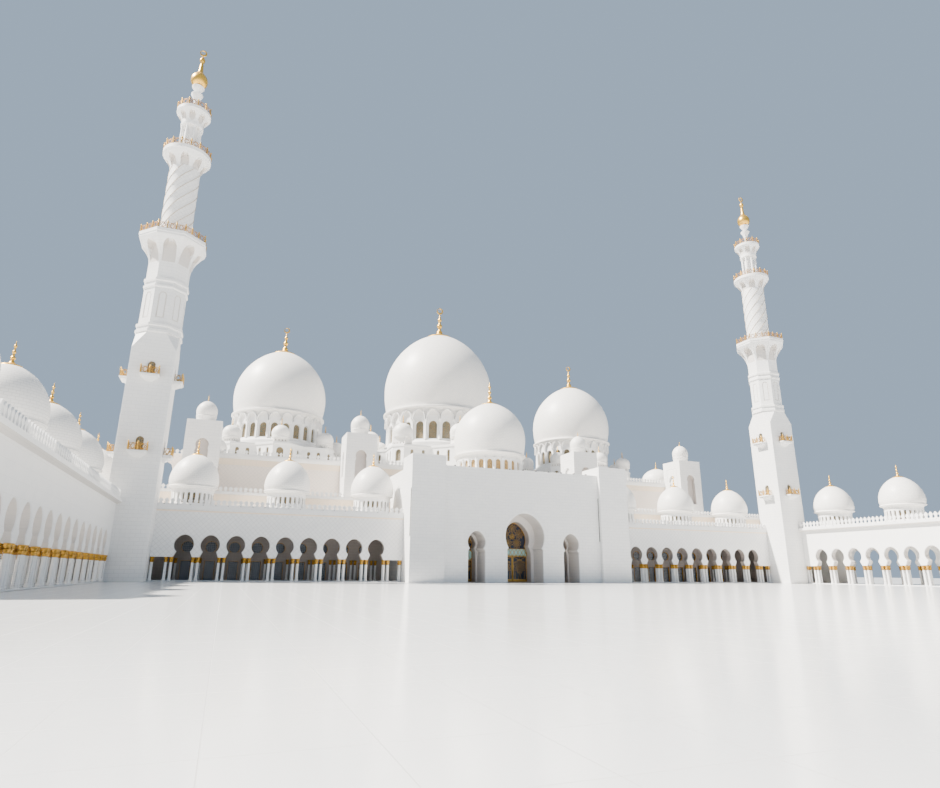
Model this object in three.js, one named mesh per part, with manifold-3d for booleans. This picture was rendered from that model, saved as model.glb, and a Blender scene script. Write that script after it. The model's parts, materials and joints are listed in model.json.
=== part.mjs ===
// Courtyard mosque of white marble, as a 1:10 model.
// Every size below is in metres of the real building. The last lines scale the group to millimetres.
// x runs to the right along the portal front, y runs back towards the prayer hall, z is up.
import * as THREE from "three";
import { mergeVertices } from "three/addons/utils/BufferGeometryUtils.js";
import Module from "manifold-3d";

const wasm = await Module();
wasm.setup();

// Scale and fits
const modelMillimetresPerMetre = 100;
const seat = 0.003;
const cut = 0.5;

// Portal block
const portalFrontY = 0;
const portalFrontDepth = 4.4;
const portalInnerBackY = 7.2;
const portalHalf = 17.35;
const portalTopZ = 22.2;
const pylonOuterX = 24.2;
const pylonFrontY = -0.85;
const pylonBackY = 6.0;
const pylonTopZ = 24.0;
const sideWallThick = 1.2;
const sideWallTopZ = 21.7;
const portalRoofZ = 20.6;
const portalRoofThick = 0.7;
const sideArchX = 10.46;
const outerCentreArch = {
  leg: 3.94, legTopZ: 6.4, neck: 3.5, neckZ: 6.75, radius: 4.3, centreZ: 8.9, crownZ: 13.5,
};
const innerCentreArch = {
  leg: 3.35, legTopZ: 5.85, neck: 2.78, neckZ: 6.95, radius: 3.05, centreZ: 8.5, crownZ: 12.1,
};
const outerSideArch = {
  leg: 1.77, legTopZ: 5.9, neck: 1.42, neckZ: 6.3, radius: 1.85, centreZ: 7.6, crownZ: 9.72,
};
const innerSideArch = {
  leg: 1.45, legTopZ: 5.8, neck: 1.12, neckZ: 6.3, radius: 1.42, centreZ: 7.4, crownZ: 9.25,
};
const slitWindows = [
  { y: 8.2, bottomZ: 16.2, topZ: 18.4 },
  { y: 12.2, bottomZ: 16.2, topZ: 18.4 },
];
const slitHalf = 0.28;

// Doors and lattice screens in the portal
const screenY = 6.4;
const screenThick = 0.24;
const doorSillZ = 0.05;
const doorGap = 0.07;
const doorMeetingGap = 0.03;
const doorThick = 0.15;
const hingeInset = 0.15;
const hingeEdge = 0.06;
const pivotRadius = 0.04;
const centreTransomZ = 5.24;
const sideTransomZ = 4.37;

// Arcades and wings
const bay = 4.179;
const arcadeFrontY = 4.31;
const arcadeFirstX = 29.36;
const arcadeArches = 9;
const wallThick = 1.3;
const arcadeWallTopZ = 12.0;
const arcadeRoofTopZ = 12.75;
const arcadeRoofLip = 0.12;
const wingRoofLip = 0.5;
const lintelZ = 4.0;
const backWallY = 16.0;
const backWallThick = 1.0;
const secondLevelZ = 16.6;
const galleryArch = {
  leg: 1.5, legTopZ: 4.0, neck: 1.07, neckZ: 4.9, radius: 1.57, centreZ: 6.05, crownZ: 7.75,
};
const roundWindow = { z: 6.1, radius: 1.08 };
const tallWindow = { half: 0.95, bottomZ: 0.15, topZ: 3.6 };
const wingInnerX = 73.2;
const wingOuterX = 85.7;
const wingFirstY = -5.7;
const wingArches = 14;
const wingEndY = wingFirstY - bay * (wingArches - 0.5) - 0.95;
const floorTopZ = 0.15;

// Columns stand four to a pier under each arch foot, and a pair carries each end of a wall
const shaftHalf = 0.2;
const shaftAlong = 0.41;
const shaftAcross = 0.34;
const capitalZ = 3.15;
const capitalFlare = 0.08;
const capitalReach = 0.33;
const capitalDepthHalf = 0.64;
const endColumnInset = 0.35;

// Small domes of the galleries
const domeRow = arcadeFrontY + 6.25;
const domeStep = 4 * bay;
const smallDome = { radius: 4.3, drum: 3.6, ringZ: 16.2, wideZ: 17.5, crownZ: 22.8, tipZ: 25.5 };

// Minarets
const minaretX = 71.3;
const minaretY = 2.45;
const shaftSide = 3.5;
const squareTopZ = 38.7;
const octagonZ = 41.9;
const octagonTopZ = 55.9;
const galleryDeckZ = 61.1;
const twistedRadius = 2.72;
const twistedTopZ = 76.4;
const roundDeckZ = 80.1;
const lanternTopZ = 87.3;
const upperDeckZ = 90.2;
const tipZ = 106.0;
const balconyLevels = [20.7, 33.9];
const balcony = { half: 1.25, lip: 0.35, depth: 1.9, footHalf: 0.3, reach: 0.9 };

// Prayer hall
const hallHalf = 66.5;
const hallFrontY = 31.0;
const hallMiddleY = 59.9;
const hallWallThick = 1.0;
const hallBackY = 2 * hallMiddleY - hallFrontY;
const hallWallTopZ = 26.0;
const hallRoofTopZ = 26.7;
const terraceZ = 15.4;
const terraceTopZ = 16.0;
const hallOpening = { half: 20.0, topZ: 17.0 };
const cornerDome = { x: 62.4, inset: 7.1, radius: 4.2, drum: 3.7, crownZ: 32.2, tipZ: 34.0 };
const linkArch = { x: 70.1, half: 1.75, springZ: 22.0, crownZ: 24.5, outerX: 72.6 };

// Great domes
const sideDome = {
  x: 46.2, starZ: 32.5, tip: 18.1, tipHalf: 1.7, drum: 11.3, drumZ: 33.8, sillZ: 35.2, headZ: 39.1,
  bandZ: 41.0, lip: 12.3, ringZ: 42.6, ring: 11.6, wideZ: 47.6, radius: 12.27, crownZ: 61.7, tipZ: 69.4,
  satellite: 16.3, satelliteRadius: 2.25, satelliteCrownZ: 37.0,
};
const centreDome = {
  x: 0, starZ: 34.7, tip: 22.4, tipHalf: 1.75, drum: 14.9, drumZ: 36.4, sillZ: 37.7, headZ: 42.6,
  bandZ: 45.2, lip: 16.3, ringZ: 47.3, ring: 15.35, wideZ: 54.4, radius: 16.3, crownZ: 73.4, tipZ: 83.2,
  satellite: 20.3, satelliteRadius: 2.7, satelliteCrownZ: 40.9,
};
const greatDomeShell = 0.9;
const drumWindows = 24;
const drumWindowHalf = 0.078;
const entranceDome = {
  y: 18.65, drum: 7.65, sillZ: 24.1, headZ: 26.3, bandZ: 27.3, lip: 8.45, ringZ: 28.3, ring: 8.0,
  wideZ: 32.2, radius: 8.42, crownZ: 41.2, tipZ: 46.6,
};

// Stair turrets
const turretHalf = 3.5;
const turretTopZ = 32.45;
const turretXs = { outer: 62.99, inner: 29.44 };
const turretDome = {
  profile: [[2.04, 32.25], [2.0, 33.95], [2.15, 34.9], [1.76, 36.3], [0.86, 37.2]],
  tipZ: 38.4,
  sides: 10,
};
const turretNiche = {
  leg: 1.3, legTopZ: 25.9, neck: 1.14, neckZ: 26.2, radius: 1.28, centreZ: 27.2, crownZ: 28.55,
};
const nicheFootZ = 20.5;
const nicheDepth = 1.1;

// Materials
const marble = new THREE.MeshStandardMaterial({ color: 0xf3f1ec, roughness: 0.42, metalness: 0 });
const creamMarble = new THREE.MeshStandardMaterial({ color: 0xefe4d3, roughness: 0.5, metalness: 0 });
const gold = new THREE.MeshStandardMaterial({ color: 0xc9982f, roughness: 0.3, metalness: 0.9 });
const latticeGlass = new THREE.MeshStandardMaterial({ color: 0x2d2a22, roughness: 0.25, metalness: 0.3 });

// A closed geometry becomes a solid once its seams are merged and the faces shut by a pole are dropped.
function solidOf(geometry) {
  const bare = new THREE.BufferGeometry();
  bare.setAttribute("position", geometry.getAttribute("position"));
  if (geometry.index) bare.setIndex(geometry.index);
  const merged = mergeVertices(bare, 1e-5);
  const corners = merged.index.array;
  const kept = [];
  for (let i = 0; i < corners.length; i += 3) {
    const [a, b, c] = [corners[i], corners[i + 1], corners[i + 2]];
    if (a !== b && b !== c && c !== a) kept.push(a, b, c);
  }
  return new wasm.Manifold(
    new wasm.Mesh({
      numProp: 3,
      vertProperties: merged.getAttribute("position").array,
      triVerts: new Uint32Array(kept),
    }),
  );
}

function join(solids) {
  return solids.reduce((whole, piece) => whole.add(piece));
}

function carve(solid, cutters) {
  return cutters.length ? solid.subtract(join(cutters)) : solid;
}

function block(x0, x1, y0, y1, z0, z1) {
  const geometry = new THREE.BoxGeometry(x1 - x0, y1 - y0, z1 - z0);
  geometry.translate((x0 + x1) / 2, (y0 + y1) / 2, (z0 + z1) / 2);
  return solidOf(geometry);
}

// A plate whose outline is drawn in x and z, from y0 back to y1.
function plate(outline, y0, y1) {
  const shape = new THREE.Shape(outline.map(([x, z]) => new THREE.Vector2(x, z)));
  const geometry = new THREE.ExtrudeGeometry(shape, { depth: y1 - y0, bevelEnabled: false });
  geometry.rotateX(Math.PI / 2);
  geometry.translate(0, y1, 0);
  return solidOf(geometry);
}

// An upright prism over an outline drawn in x and y.
function prism(outline, z0, z1) {
  const shape = new THREE.Shape(outline.map(([x, y]) => new THREE.Vector2(x, y)));
  const geometry = new THREE.ExtrudeGeometry(shape, { depth: z1 - z0, bevelEnabled: false });
  geometry.translate(0, 0, z0);
  return solidOf(geometry);
}

// A turned solid from a profile of radius and height that closes on the axis or on itself.
function turned(profile, x, y, segments, turn = 0) {
  const points = profile.map(([radius, z]) => new THREE.Vector2(radius, z));
  const geometry = new THREE.LatheGeometry(points, segments, turn);
  geometry.rotateX(Math.PI / 2);
  geometry.translate(x, y, 0);
  return solidOf(geometry);
}

// Moves a solid through a three.js matrix, which may mirror it.
function moved(solid, matrix) {
  const mesh = solid.getMesh();
  const geometry = new THREE.BufferGeometry();
  geometry.setAttribute("position", new THREE.BufferAttribute(mesh.vertProperties, 3));
  geometry.setIndex(new THREE.BufferAttribute(mesh.triVerts, 1));
  geometry.applyMatrix4(matrix);
  if (matrix.determinant() < 0) {
    const corners = geometry.index.array;
    for (let i = 0; i < corners.length; i += 3) {
      [corners[i + 1], corners[i + 2]] = [corners[i + 2], corners[i + 1]];
    }
  }
  return solidOf(geometry);
}

const mirrorX = new THREE.Matrix4().makeScale(-1, 1, 1);

function turnedAbout(solid, x, y, angle) {
  const matrix = new THREE.Matrix4()
    .makeTranslation(x, y, 0)
    .multiply(new THREE.Matrix4().makeRotationZ(angle))
    .multiply(new THREE.Matrix4().makeTranslation(-x, -y, 0));
  return moved(solid, matrix);
}

// A horseshoe arch: straight legs, a narrow neck, then a round head with a slight point.
function horseshoe(arch, middle, footZ, steps) {
  const neckAngle = -Math.acos(arch.neck / arch.radius);
  const half = [[arch.leg, footZ], [arch.leg, arch.legTopZ]];
  for (let i = 0; i < steps; i++) {
    const angle = neckAngle + ((Math.PI / 2 - neckAngle) * i) / steps;
    const lift = (arch.crownZ - arch.centreZ - arch.radius) * Math.max(0, Math.sin(angle)) ** 4;
    half.push([arch.radius * Math.cos(angle), arch.centreZ + arch.radius * Math.sin(angle) + lift]);
  }
  half[2][1] = Math.max(half[2][1], arch.neckZ);
  const right = half.map(([x, z]) => [middle + x, z]);
  const left = half.map(([x, z]) => [middle - x, z]).reverse();
  return [...right, [middle, arch.crownZ], ...left];
}

// Half the profile of a bulbous dome from its ring to its crown. It closes faster than an ellipse.
const domeClosing = 1.2;
function domeCurve(ring, ringZ, radius, wideZ, crownZ, below, above) {
  const points = [];
  const foot = Math.acos(ring / radius);
  const drop = (wideZ - ringZ) / Math.sin(foot);
  for (let i = 0; i < below; i++) {
    const angle = -foot * (1 - i / below);
    points.push([radius * Math.cos(angle), wideZ + drop * Math.sin(angle)]);
  }
  for (let i = 0; i < above; i++) {
    const angle = (Math.PI / 2) * (i / above);
    points.push([radius * Math.cos(angle) ** domeClosing, wideZ + (crownZ - wideZ) * Math.sin(angle)]);
  }
  return points;
}

// Group and named meshes
const building = new THREE.Group();

function add(name, solid, material) {
  const mesh = solid.getMesh();
  const geometry = new THREE.BufferGeometry();
  geometry.setAttribute("position", new THREE.BufferAttribute(new Float32Array(mesh.vertProperties), 3));
  geometry.setIndex(new THREE.BufferAttribute(new Uint32Array(mesh.triVerts), 1));
  geometry.computeVertexNormals();
  const piece = new THREE.Mesh(geometry, material);
  piece.name = name;
  building.add(piece);
}

// Adds a piece of the right-hand side and its mirror image.
function addPair(name, solid, material) {
  add("right_" + name, solid, material);
  add("left_" + name, moved(solid, mirrorX), material);
}

// Portal front with its three horseshoe arches
const archSteps = 7;
function portalWall(halfWidth, topZ, y0, y1, centreArch, sideArch) {
  return carve(block(-halfWidth, halfWidth, y0, y1, 0, topZ), [
    plate(horseshoe(centreArch, 0, -cut, archSteps), y0 - cut, y1 + cut),
    plate(horseshoe(sideArch, sideArchX, -cut, archSteps), y0 - cut, y1 + cut),
    plate(horseshoe(sideArch, -sideArchX, -cut, archSteps), y0 - cut, y1 + cut),
  ]);
}

function portal() {
  const half = portalHalf - seat;
  const innerY = portalFrontY + portalFrontDepth + seat;
  add(
    "portal_front_wall",
    portalWall(half, portalTopZ, portalFrontY, portalFrontDepth, outerCentreArch, outerSideArch),
    marble,
  );
  const inner = portalWall(
    half, portalRoofZ - seat, innerY, portalInnerBackY, innerCentreArch, innerSideArch,
  );
  const sills = [
    block(-innerCentreArch.leg - cut, innerCentreArch.leg + cut, innerY, portalInnerBackY, 0, doorSillZ),
    block(sideArchX - 2, sideArchX + 2, innerY, portalInnerBackY, 0, doorSillZ),
    block(-sideArchX - 2, -sideArchX + 2, innerY, portalInnerBackY, 0, doorSillZ),
  ];
  add("portal_inner_wall", join([inner, ...sills]), marble);
  addPair(
    "pylon",
    block(portalHalf, pylonOuterX, pylonFrontY, pylonBackY, 0, pylonTopZ),
    marble,
  );
  const slits = slitWindows.map((slit) =>
    block(
      pylonOuterX - 2 * sideWallThick, pylonOuterX + cut,
      slit.y - slitHalf, slit.y + slitHalf, slit.bottomZ, slit.topZ,
    ),
  );
  const sideWall = block(
    pylonOuterX - sideWallThick, pylonOuterX, pylonBackY + seat, hallFrontY - seat, 0, sideWallTopZ,
  );
  addPair("portal_side_wall", carve(sideWall, slits), marble);
  const roofHalf = pylonOuterX - sideWallThick - seat;
  const roofHole = turned(
    [[0, portalRoofZ - cut], [entranceDome.drum - 0.8, portalRoofZ - cut],
      [entranceDome.drum - 0.8, portalRoofZ + 2], [0, portalRoofZ + 2]],
    0, entranceDome.y, 24,
  );
  const roofTopZ = portalRoofZ + portalRoofThick;
  const roof = join([
    block(-roofHalf, roofHalf, pylonBackY + seat, hallFrontY - seat, portalRoofZ, roofTopZ),
    block(-half, half, portalFrontDepth + seat, pylonBackY + 1, portalRoofZ, roofTopZ),
  ]);
  add("portal_roof", carve(roof, [roofHole]), marble);
}

// Door leaves turn on pivots at their outer edges. A lattice screen fills the arch head above.
function portalScreens() {
  const front = screenY - screenThick / 2;
  const passages = [
    ["centre", innerCentreArch, 0, centreTransomZ],
    ["right", innerSideArch, sideArchX, sideTransomZ],
    ["left", innerSideArch, -sideArchX, sideTransomZ],
  ];
  for (const [name, arch, middle, transomZ] of passages) {
    const axisX = arch.leg - hingeInset;
    const leaf = join([
      block(
        doorMeetingGap, axisX + hingeEdge, screenY - doorThick / 2, screenY + doorThick / 2,
        doorSillZ + doorGap, transomZ - doorGap,
      ),
      turned(
        [[0, doorSillZ + seat], [pivotRadius, doorSillZ + seat], [pivotRadius, transomZ - seat],
          [0, transomZ - seat]],
        axisX, screenY, 8,
      ),
    ]);
    const toPlace = new THREE.Matrix4().makeTranslation(middle, 0, 0);
    add(name + "_door_right_leaf", moved(leaf, toPlace), latticeGlass);
    add(name + "_door_left_leaf", moved(leaf, toPlace.clone().multiply(mirrorX)), latticeGlass);
    const inset = {
      ...arch,
      leg: arch.leg - seat,
      neck: arch.neck - seat,
      radius: arch.radius - seat,
      crownZ: arch.crownZ - 2 * seat,
      legTopZ: arch.legTopZ - 2 * seat,
    };
    const head = plate(horseshoe(inset, middle, transomZ, archSteps), front, front + screenThick);
    add(name + "_arch_screen", head, latticeGlass);
  }
}

// A gallery wall standing on its piers, drawn along x from one end to the other.
function galleryWall(x0, x1, firstX, count, footZ, steps) {
  const wall = block(x0, x1, 0, wallThick, footZ, arcadeWallTopZ);
  const arches = [];
  for (let i = 0; i < count; i++) {
    const outline = horseshoe(galleryArch, firstX + i * bay, footZ - cut, steps);
    arches.push(plate(outline, -cut, wallThick + cut));
  }
  return carve(wall, arches);
}

// Slim shafts under one capital, in a front and a back row. Along the wings each front and back pair is
// drawn as one slab.
function pier(x, spots, paired) {
  const middle = wallThick / 2;
  const rows = paired ? [0] : [-shaftAcross, shaftAcross];
  const depthHalf = paired ? shaftAcross + shaftHalf : shaftHalf;
  const topHalf = Math.max(...spots) + capitalReach;
  const footHalf = topHalf - capitalFlare;
  const parts = [
    plate(
      [
        [x - footHalf, capitalZ], [x + footHalf, capitalZ],
        [x + topHalf, lintelZ - seat], [x - topHalf, lintelZ - seat],
      ],
      middle - capitalDepthHalf, middle + capitalDepthHalf,
    ),
  ];
  for (const along of spots) {
    for (const across of rows) {
      parts.push(
        block(
          x + along - shaftHalf, x + along + shaftHalf,
          middle + across - depthHalf, middle + across + depthHalf,
          floorTopZ - 0.05, capitalZ + 0.05,
        ),
      );
    }
  }
  return join(parts);
}

function piers(firstX, count, ends, paired) {
  const fours = Array.from({ length: count }, (_, i) =>
    pier(firstX + i * bay, [-shaftAlong, shaftAlong], paired),
  );
  return [...fours, ...ends.map((x) => pier(x, [0], paired))];
}

// A dome of the galleries on its drum, open below through a square hole in the roof slab.
const smallSegments = 12;
const ceilingHoleHalf = 2.1;
function galleryDome(x, y) {
  const d = smallDome;
  const shell = 0.5;
  const footZ = arcadeRoofTopZ - 0.2;
  const innerRadius = d.drum - shell;
  const profile = [
    [innerRadius, footZ], [d.drum, footZ], [d.drum, d.ringZ - 0.3], [d.radius - 0.1, d.ringZ],
    ...domeCurve(d.radius - 0.1, d.ringZ, d.radius, d.wideZ, d.crownZ, 0, 3),
    [0.3, d.crownZ], [0, d.tipZ], [0, d.crownZ - 1.2], [innerRadius, d.wideZ],
  ];
  return turned([...profile, profile[0]], x, y, smallSegments);
}

function roofWithDomes(slab, places) {
  const half = ceilingHoleHalf;
  const holes = places.map(([x, y]) =>
    block(x - half, x + half, y - half, y + half, arcadeWallTopZ - 1, arcadeRoofTopZ + 0.3),
  );
  const domes = places.map(([x, y]) => galleryDome(x, y));
  return carve(join([slab, ...domes]), holes);
}

function minaretVoid(margin) {
  return block(
    minaretX - shaftSide - margin, minaretX + shaftSide + margin,
    minaretY - shaftSide - margin, minaretY + shaftSide + margin, -1, 20,
  );
}

function arcades() {
  const endX = minaretX - shaftSide - seat;
  const startX = pylonOuterX + seat;
  const raise = (solid) =>
    moved(solid, new THREE.Matrix4().makeTranslation(0, arcadeFrontY, 0));
  const wall = galleryWall(startX, endX, arcadeFirstX, arcadeArches, lintelZ, 5);
  addPair("arcade_wall", raise(wall), marble);
  const floor = join([
    block(startX, endX, 4.2, backWallY - seat, 0, floorTopZ),
    block(endX - 1, wingOuterX - wallThick - seat, minaretY + shaftSide + seat,
      backWallY - seat, 0, floorTopZ),
  ]);
  const ends = [startX + endColumnInset, endX - endColumnInset];
  const columns = piers(arcadeFirstX - bay / 2, arcadeArches + 1, ends, false).map(raise);
  addPair("arcade_colonnade", join([floor, ...columns]), marble);
  const openings = [];
  for (let i = 0; i < arcadeArches; i++) {
    const x = arcadeFirstX + i * bay;
    const round = [[0, 1], [-0.8, 0.6], [-1, -0.1], [-0.6, -0.96], [0.6, -0.96], [1, -0.1], [0.8, 0.6]];
    const outline = round.map(([a, b]) => [
      x + a * roundWindow.radius, roundWindow.z + b * roundWindow.radius,
    ]);
    openings.push(plate(outline, backWallY - 1, backWallY + 2));
    openings.push(
      block(x - tallWindow.half, x + tallWindow.half, backWallY - 1, backWallY + 2,
        tallWindow.bottomZ, tallWindow.topZ),
    );
  }
  const backWall = block(
    startX, wingOuterX, backWallY, backWallY + backWallThick, 0, secondLevelZ,
  );
  addPair("arcade_back_wall", carve(backWall, openings), marble);
  const slab = carve(
    block(
      startX, wingOuterX - wallThick - seat, arcadeFrontY - arcadeRoofLip, backWallY - seat,
      arcadeWallTopZ + seat, arcadeRoofTopZ,
    ),
    [
      minaretVoid(seat),
      block(wingInnerX - 2, wingOuterX, 0, minaretY + shaftSide + seat, 5, 20),
    ],
  );
  const places = [0, 1, 2, 3].map((i) => [arcadeFirstX + i * domeStep, domeRow]);
  addPair("arcade_roof", roofWithDomes(slab, places), marble);
}

// The wings are drawn along x as the arcades are, then turned to run along y.
function wings() {
  const length = minaretY - shaftSide - seat - wingEndY;
  const alongOf = (y) => minaretY - shaftSide - seat - y;
  const firstAlong = alongOf(wingFirstY);
  const turnIn = new THREE.Matrix4()
    .makeTranslation(wingInnerX, minaretY - shaftSide - seat, 0)
    .multiply(new THREE.Matrix4().makeRotationZ(-Math.PI / 2));
  const inner = moved(galleryWall(0, length, firstAlong, wingArches, lintelZ, 4), turnIn);
  addPair("wing_inner_wall", inner, marble);
  const floor = join([
    block(
      wingInnerX - 0.1, wingOuterX - wallThick - seat, wingEndY + wallThick + seat,
      minaretY - shaftSide - seat, 0, floorTopZ,
    ),
    block(
      minaretX + shaftSide + seat, wingOuterX - wallThick - seat, minaretY - shaftSide - 1,
      minaretY + shaftSide - seat, 0, floorTopZ,
    ),
    block(
      wingInnerX - 0.1, wingInnerX + wallThick - seat, wingEndY, wingEndY + wallThick + 1,
      0, floorTopZ,
    ),
  ]);
  const rows = piers(firstAlong - bay / 2, wingArches + 1, [endColumnInset], true);
  const columns = rows.map((row) => moved(row, turnIn));
  addPair("wing_colonnade", join([floor, ...columns]), marble);
  const outerLength = backWallY - seat - wingEndY;
  const turnOut = new THREE.Matrix4()
    .makeTranslation(wingOuterX - wallThick, backWallY - seat, 0)
    .multiply(new THREE.Matrix4().makeRotationZ(-Math.PI / 2));
  const outerFirst = backWallY - seat - wingFirstY;
  const outer = moved(galleryWall(0, outerLength, outerFirst, wingArches, 0, 3), turnOut);
  const endLength = wingOuterX - wingInnerX - wallThick - seat;
  const endFirst = (wingOuterX - wingInnerX - wallThick - 2 * bay) / 2;
  const toEnd = new THREE.Matrix4().makeTranslation(wingInnerX + wallThick + seat, wingEndY, 0);
  const end = moved(galleryWall(0, endLength, endFirst + 0.25, 3, 0, 3), toEnd);
  addPair("wing_outer_wall", join([outer, end]), marble);
  const slab = join([
    block(
      wingInnerX - wingRoofLip, wingOuterX + arcadeRoofLip, wingEndY - arcadeRoofLip,
      minaretY - shaftSide - seat, arcadeWallTopZ + seat, arcadeRoofTopZ,
    ),
    block(
      minaretX + shaftSide + seat, wingOuterX + arcadeRoofLip, minaretY - shaftSide - 1,
      minaretY + shaftSide - seat, arcadeWallTopZ + seat, arcadeRoofTopZ,
    ),
    block(
      wingOuterX - wallThick, wingOuterX + arcadeRoofLip, minaretY, backWallY - seat,
      arcadeWallTopZ + seat, arcadeRoofTopZ,
    ),
  ]);
  const places = [0, 1, 2, 3].map((i) => [wingInnerX + 6.25, wingFirstY - i * domeStep]);
  addPair("wing_roof", roofWithDomes(slab, places), marble);
}

// Minaret tiers, each turned or built about the right-hand minaret's own axis
function ring(radius, z) {
  return [radius, z];
}

function octagonProfile(points) {
  const toCorner = 1 / Math.cos(Math.PI / 8);
  return turned(
    points.map(([inner, z]) => [inner * toCorner, z]), minaretX, minaretY, 8, Math.PI / 8,
  );
}

function minaretShaft() {
  const tower = block(
    minaretX - shaftSide, minaretX + shaftSide, minaretY - shaftSide, minaretY + shaftSide,
    0, squareTopZ,
  );
  const balconies = [];
  for (const deckZ of balconyLevels) {
    for (let side = 0; side < 4; side++) {
      const b = balcony;
      const outline = [
        [-b.half, deckZ], [-b.half, deckZ - b.lip], [-b.footHalf, deckZ - b.depth],
        [b.footHalf, deckZ - b.depth], [b.half, deckZ - b.lip], [b.half, deckZ],
      ].map(([x, z]) => [minaretX + x, z]);
      const corbel = plate(outline, minaretY - shaftSide - b.reach, minaretY - shaftSide + 0.1);
      balconies.push(turnedAbout(corbel, minaretX, minaretY, (side * Math.PI) / 2));
    }
  }
  const shoulder = octagonProfile([
    ring(0, squareTopZ - 0.2), ring(shaftSide - 0.02, squareTopZ - 0.2),
    ring(shaftSide - 0.02, octagonZ), ring(0, octagonZ),
  ]);
  return join([tower, shoulder, ...balconies]);
}

function minaretOctagon() {
  return octagonProfile([
    ring(0, octagonZ + seat), ring(3.75, octagonZ + seat), ring(3.75, 43.2), ring(3.4, 43.4),
    ring(3.4, octagonTopZ), ring(5.4, 59.9), ring(5.6, 60.3), ring(5.6, galleryDeckZ),
    ring(0, galleryDeckZ),
  ]);
}

function minaretTwist() {
  return turned(
    [
      [0, galleryDeckZ + seat], [twistedRadius, galleryDeckZ + seat],
      [twistedRadius, twistedTopZ], [4.1, 79.0], [4.35, 79.4], [4.35, roundDeckZ], [0, roundDeckZ],
    ],
    minaretX, minaretY, 16,
  );
}

function minaretLantern() {
  const core = turned(
    [
      [0, roundDeckZ + seat], [2.1, roundDeckZ + seat], [2.1, roundDeckZ + 0.4],
      [1.2, roundDeckZ + 0.5], [1.2, 86.7], [2.05, 86.9], [2.05, lanternTopZ], [3.1, 89.5],
      [3.15, upperDeckZ], [0, upperDeckZ],
    ],
    minaretX, minaretY, 12,
  );
  const columns = [];
  for (let i = 0; i < 8; i++) {
    const angle = (i * Math.PI) / 4 + Math.PI / 8;
    columns.push(
      turned(
        [[0, roundDeckZ + 0.2], [0.24, roundDeckZ + 0.2], [0.24, lanternTopZ - 0.2],
          [0, lanternTopZ - 0.2]],
        minaretX + 1.75 * Math.cos(angle), minaretY + 1.75 * Math.sin(angle), 4,
      ),
    );
  }
  return join([core, ...columns]);
}

function minaretFinial() {
  return turned(
    [
      [0, upperDeckZ + seat], [0.85, upperDeckZ + seat], [0.4, 91.8], [1.12, 94.7], [0.4, 95.1],
      [1.15, 96.6], [0.9, 97.0], [1.6, 98.3], [1.15, 99.6], [0.42, 100.8], [0.3, 102.6],
      [0.5, 103.5], [0.12, 104.3], [0.35, 105.3], [0.1, tipZ], [0, tipZ],
    ],
    minaretX, minaretY, 8,
  );
}

// Prayer hall with its terraces
function hallWalls() {
  const t = hallWallThick;
  const front = carve(
    block(-hallHalf, hallHalf, hallFrontY, hallFrontY + t, 0, hallWallTopZ),
    [block(-hallOpening.half, hallOpening.half, hallFrontY - 1, hallFrontY + 2, -1, hallOpening.topZ)],
  );
  const walls = [
    front,
    block(-hallHalf, hallHalf, hallBackY - t, hallBackY, 0, hallWallTopZ),
  ];
  for (const side of [-1, 1]) {
    const [a, b] = [side * (hallHalf - t), side * hallHalf].sort((p, q) => p - q);
    walls.push(block(a, b, hallFrontY, hallBackY, 0, hallWallTopZ));
    walls.push(block(a, b, backWallY + backWallThick + seat, hallFrontY, 0, terraceZ - seat));
    const [c, d] = [side * (hallHalf - t), side * linkArch.outerX].sort((p, q) => p - q);
    const link = block(c, d, hallFrontY, hallFrontY + t, 0, hallWallTopZ);
    const arch = [
      [-linkArch.half, -1], [linkArch.half, -1], [linkArch.half, linkArch.springZ],
      [linkArch.half * 0.72, 23.7], [0, linkArch.crownZ], [-linkArch.half * 0.72, 23.7],
      [-linkArch.half, linkArch.springZ],
    ].map(([x, z]) => [side * linkArch.x + x, z]);
    walls.push(carve(link, [plate(arch, hallFrontY - 1, hallFrontY + 2)]));
  }
  return join(walls);
}

// A low dome near each corner of the hall roof
function cornerDomes() {
  const d = cornerDome;
  const domes = [];
  for (const y of [hallFrontY + d.inset, hallBackY - d.inset]) {
    for (const x of [-d.x, d.x]) {
      domes.push(
        turned(
          [
            [0, hallRoofTopZ - 0.2], [d.drum, hallRoofTopZ - 0.2], [d.drum, d.crownZ - 4.5],
            [d.radius, d.crownZ - 3.2], [0.87 * d.radius, d.crownZ - 1.5],
            [0.5 * d.radius, d.crownZ - 0.3], [0.25, d.crownZ], [0, d.tipZ],
          ],
          x, y, smallSegments,
        ),
      );
    }
  }
  return domes;
}

function greatDomeHole(dome) {
  const radius = dome.drum - greatDomeShell;
  return turned(
    [[0, 20], [radius, 20], [radius, 50], [0, 50]], dome.x, hallMiddleY, drumWindows / 2,
  );
}

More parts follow.
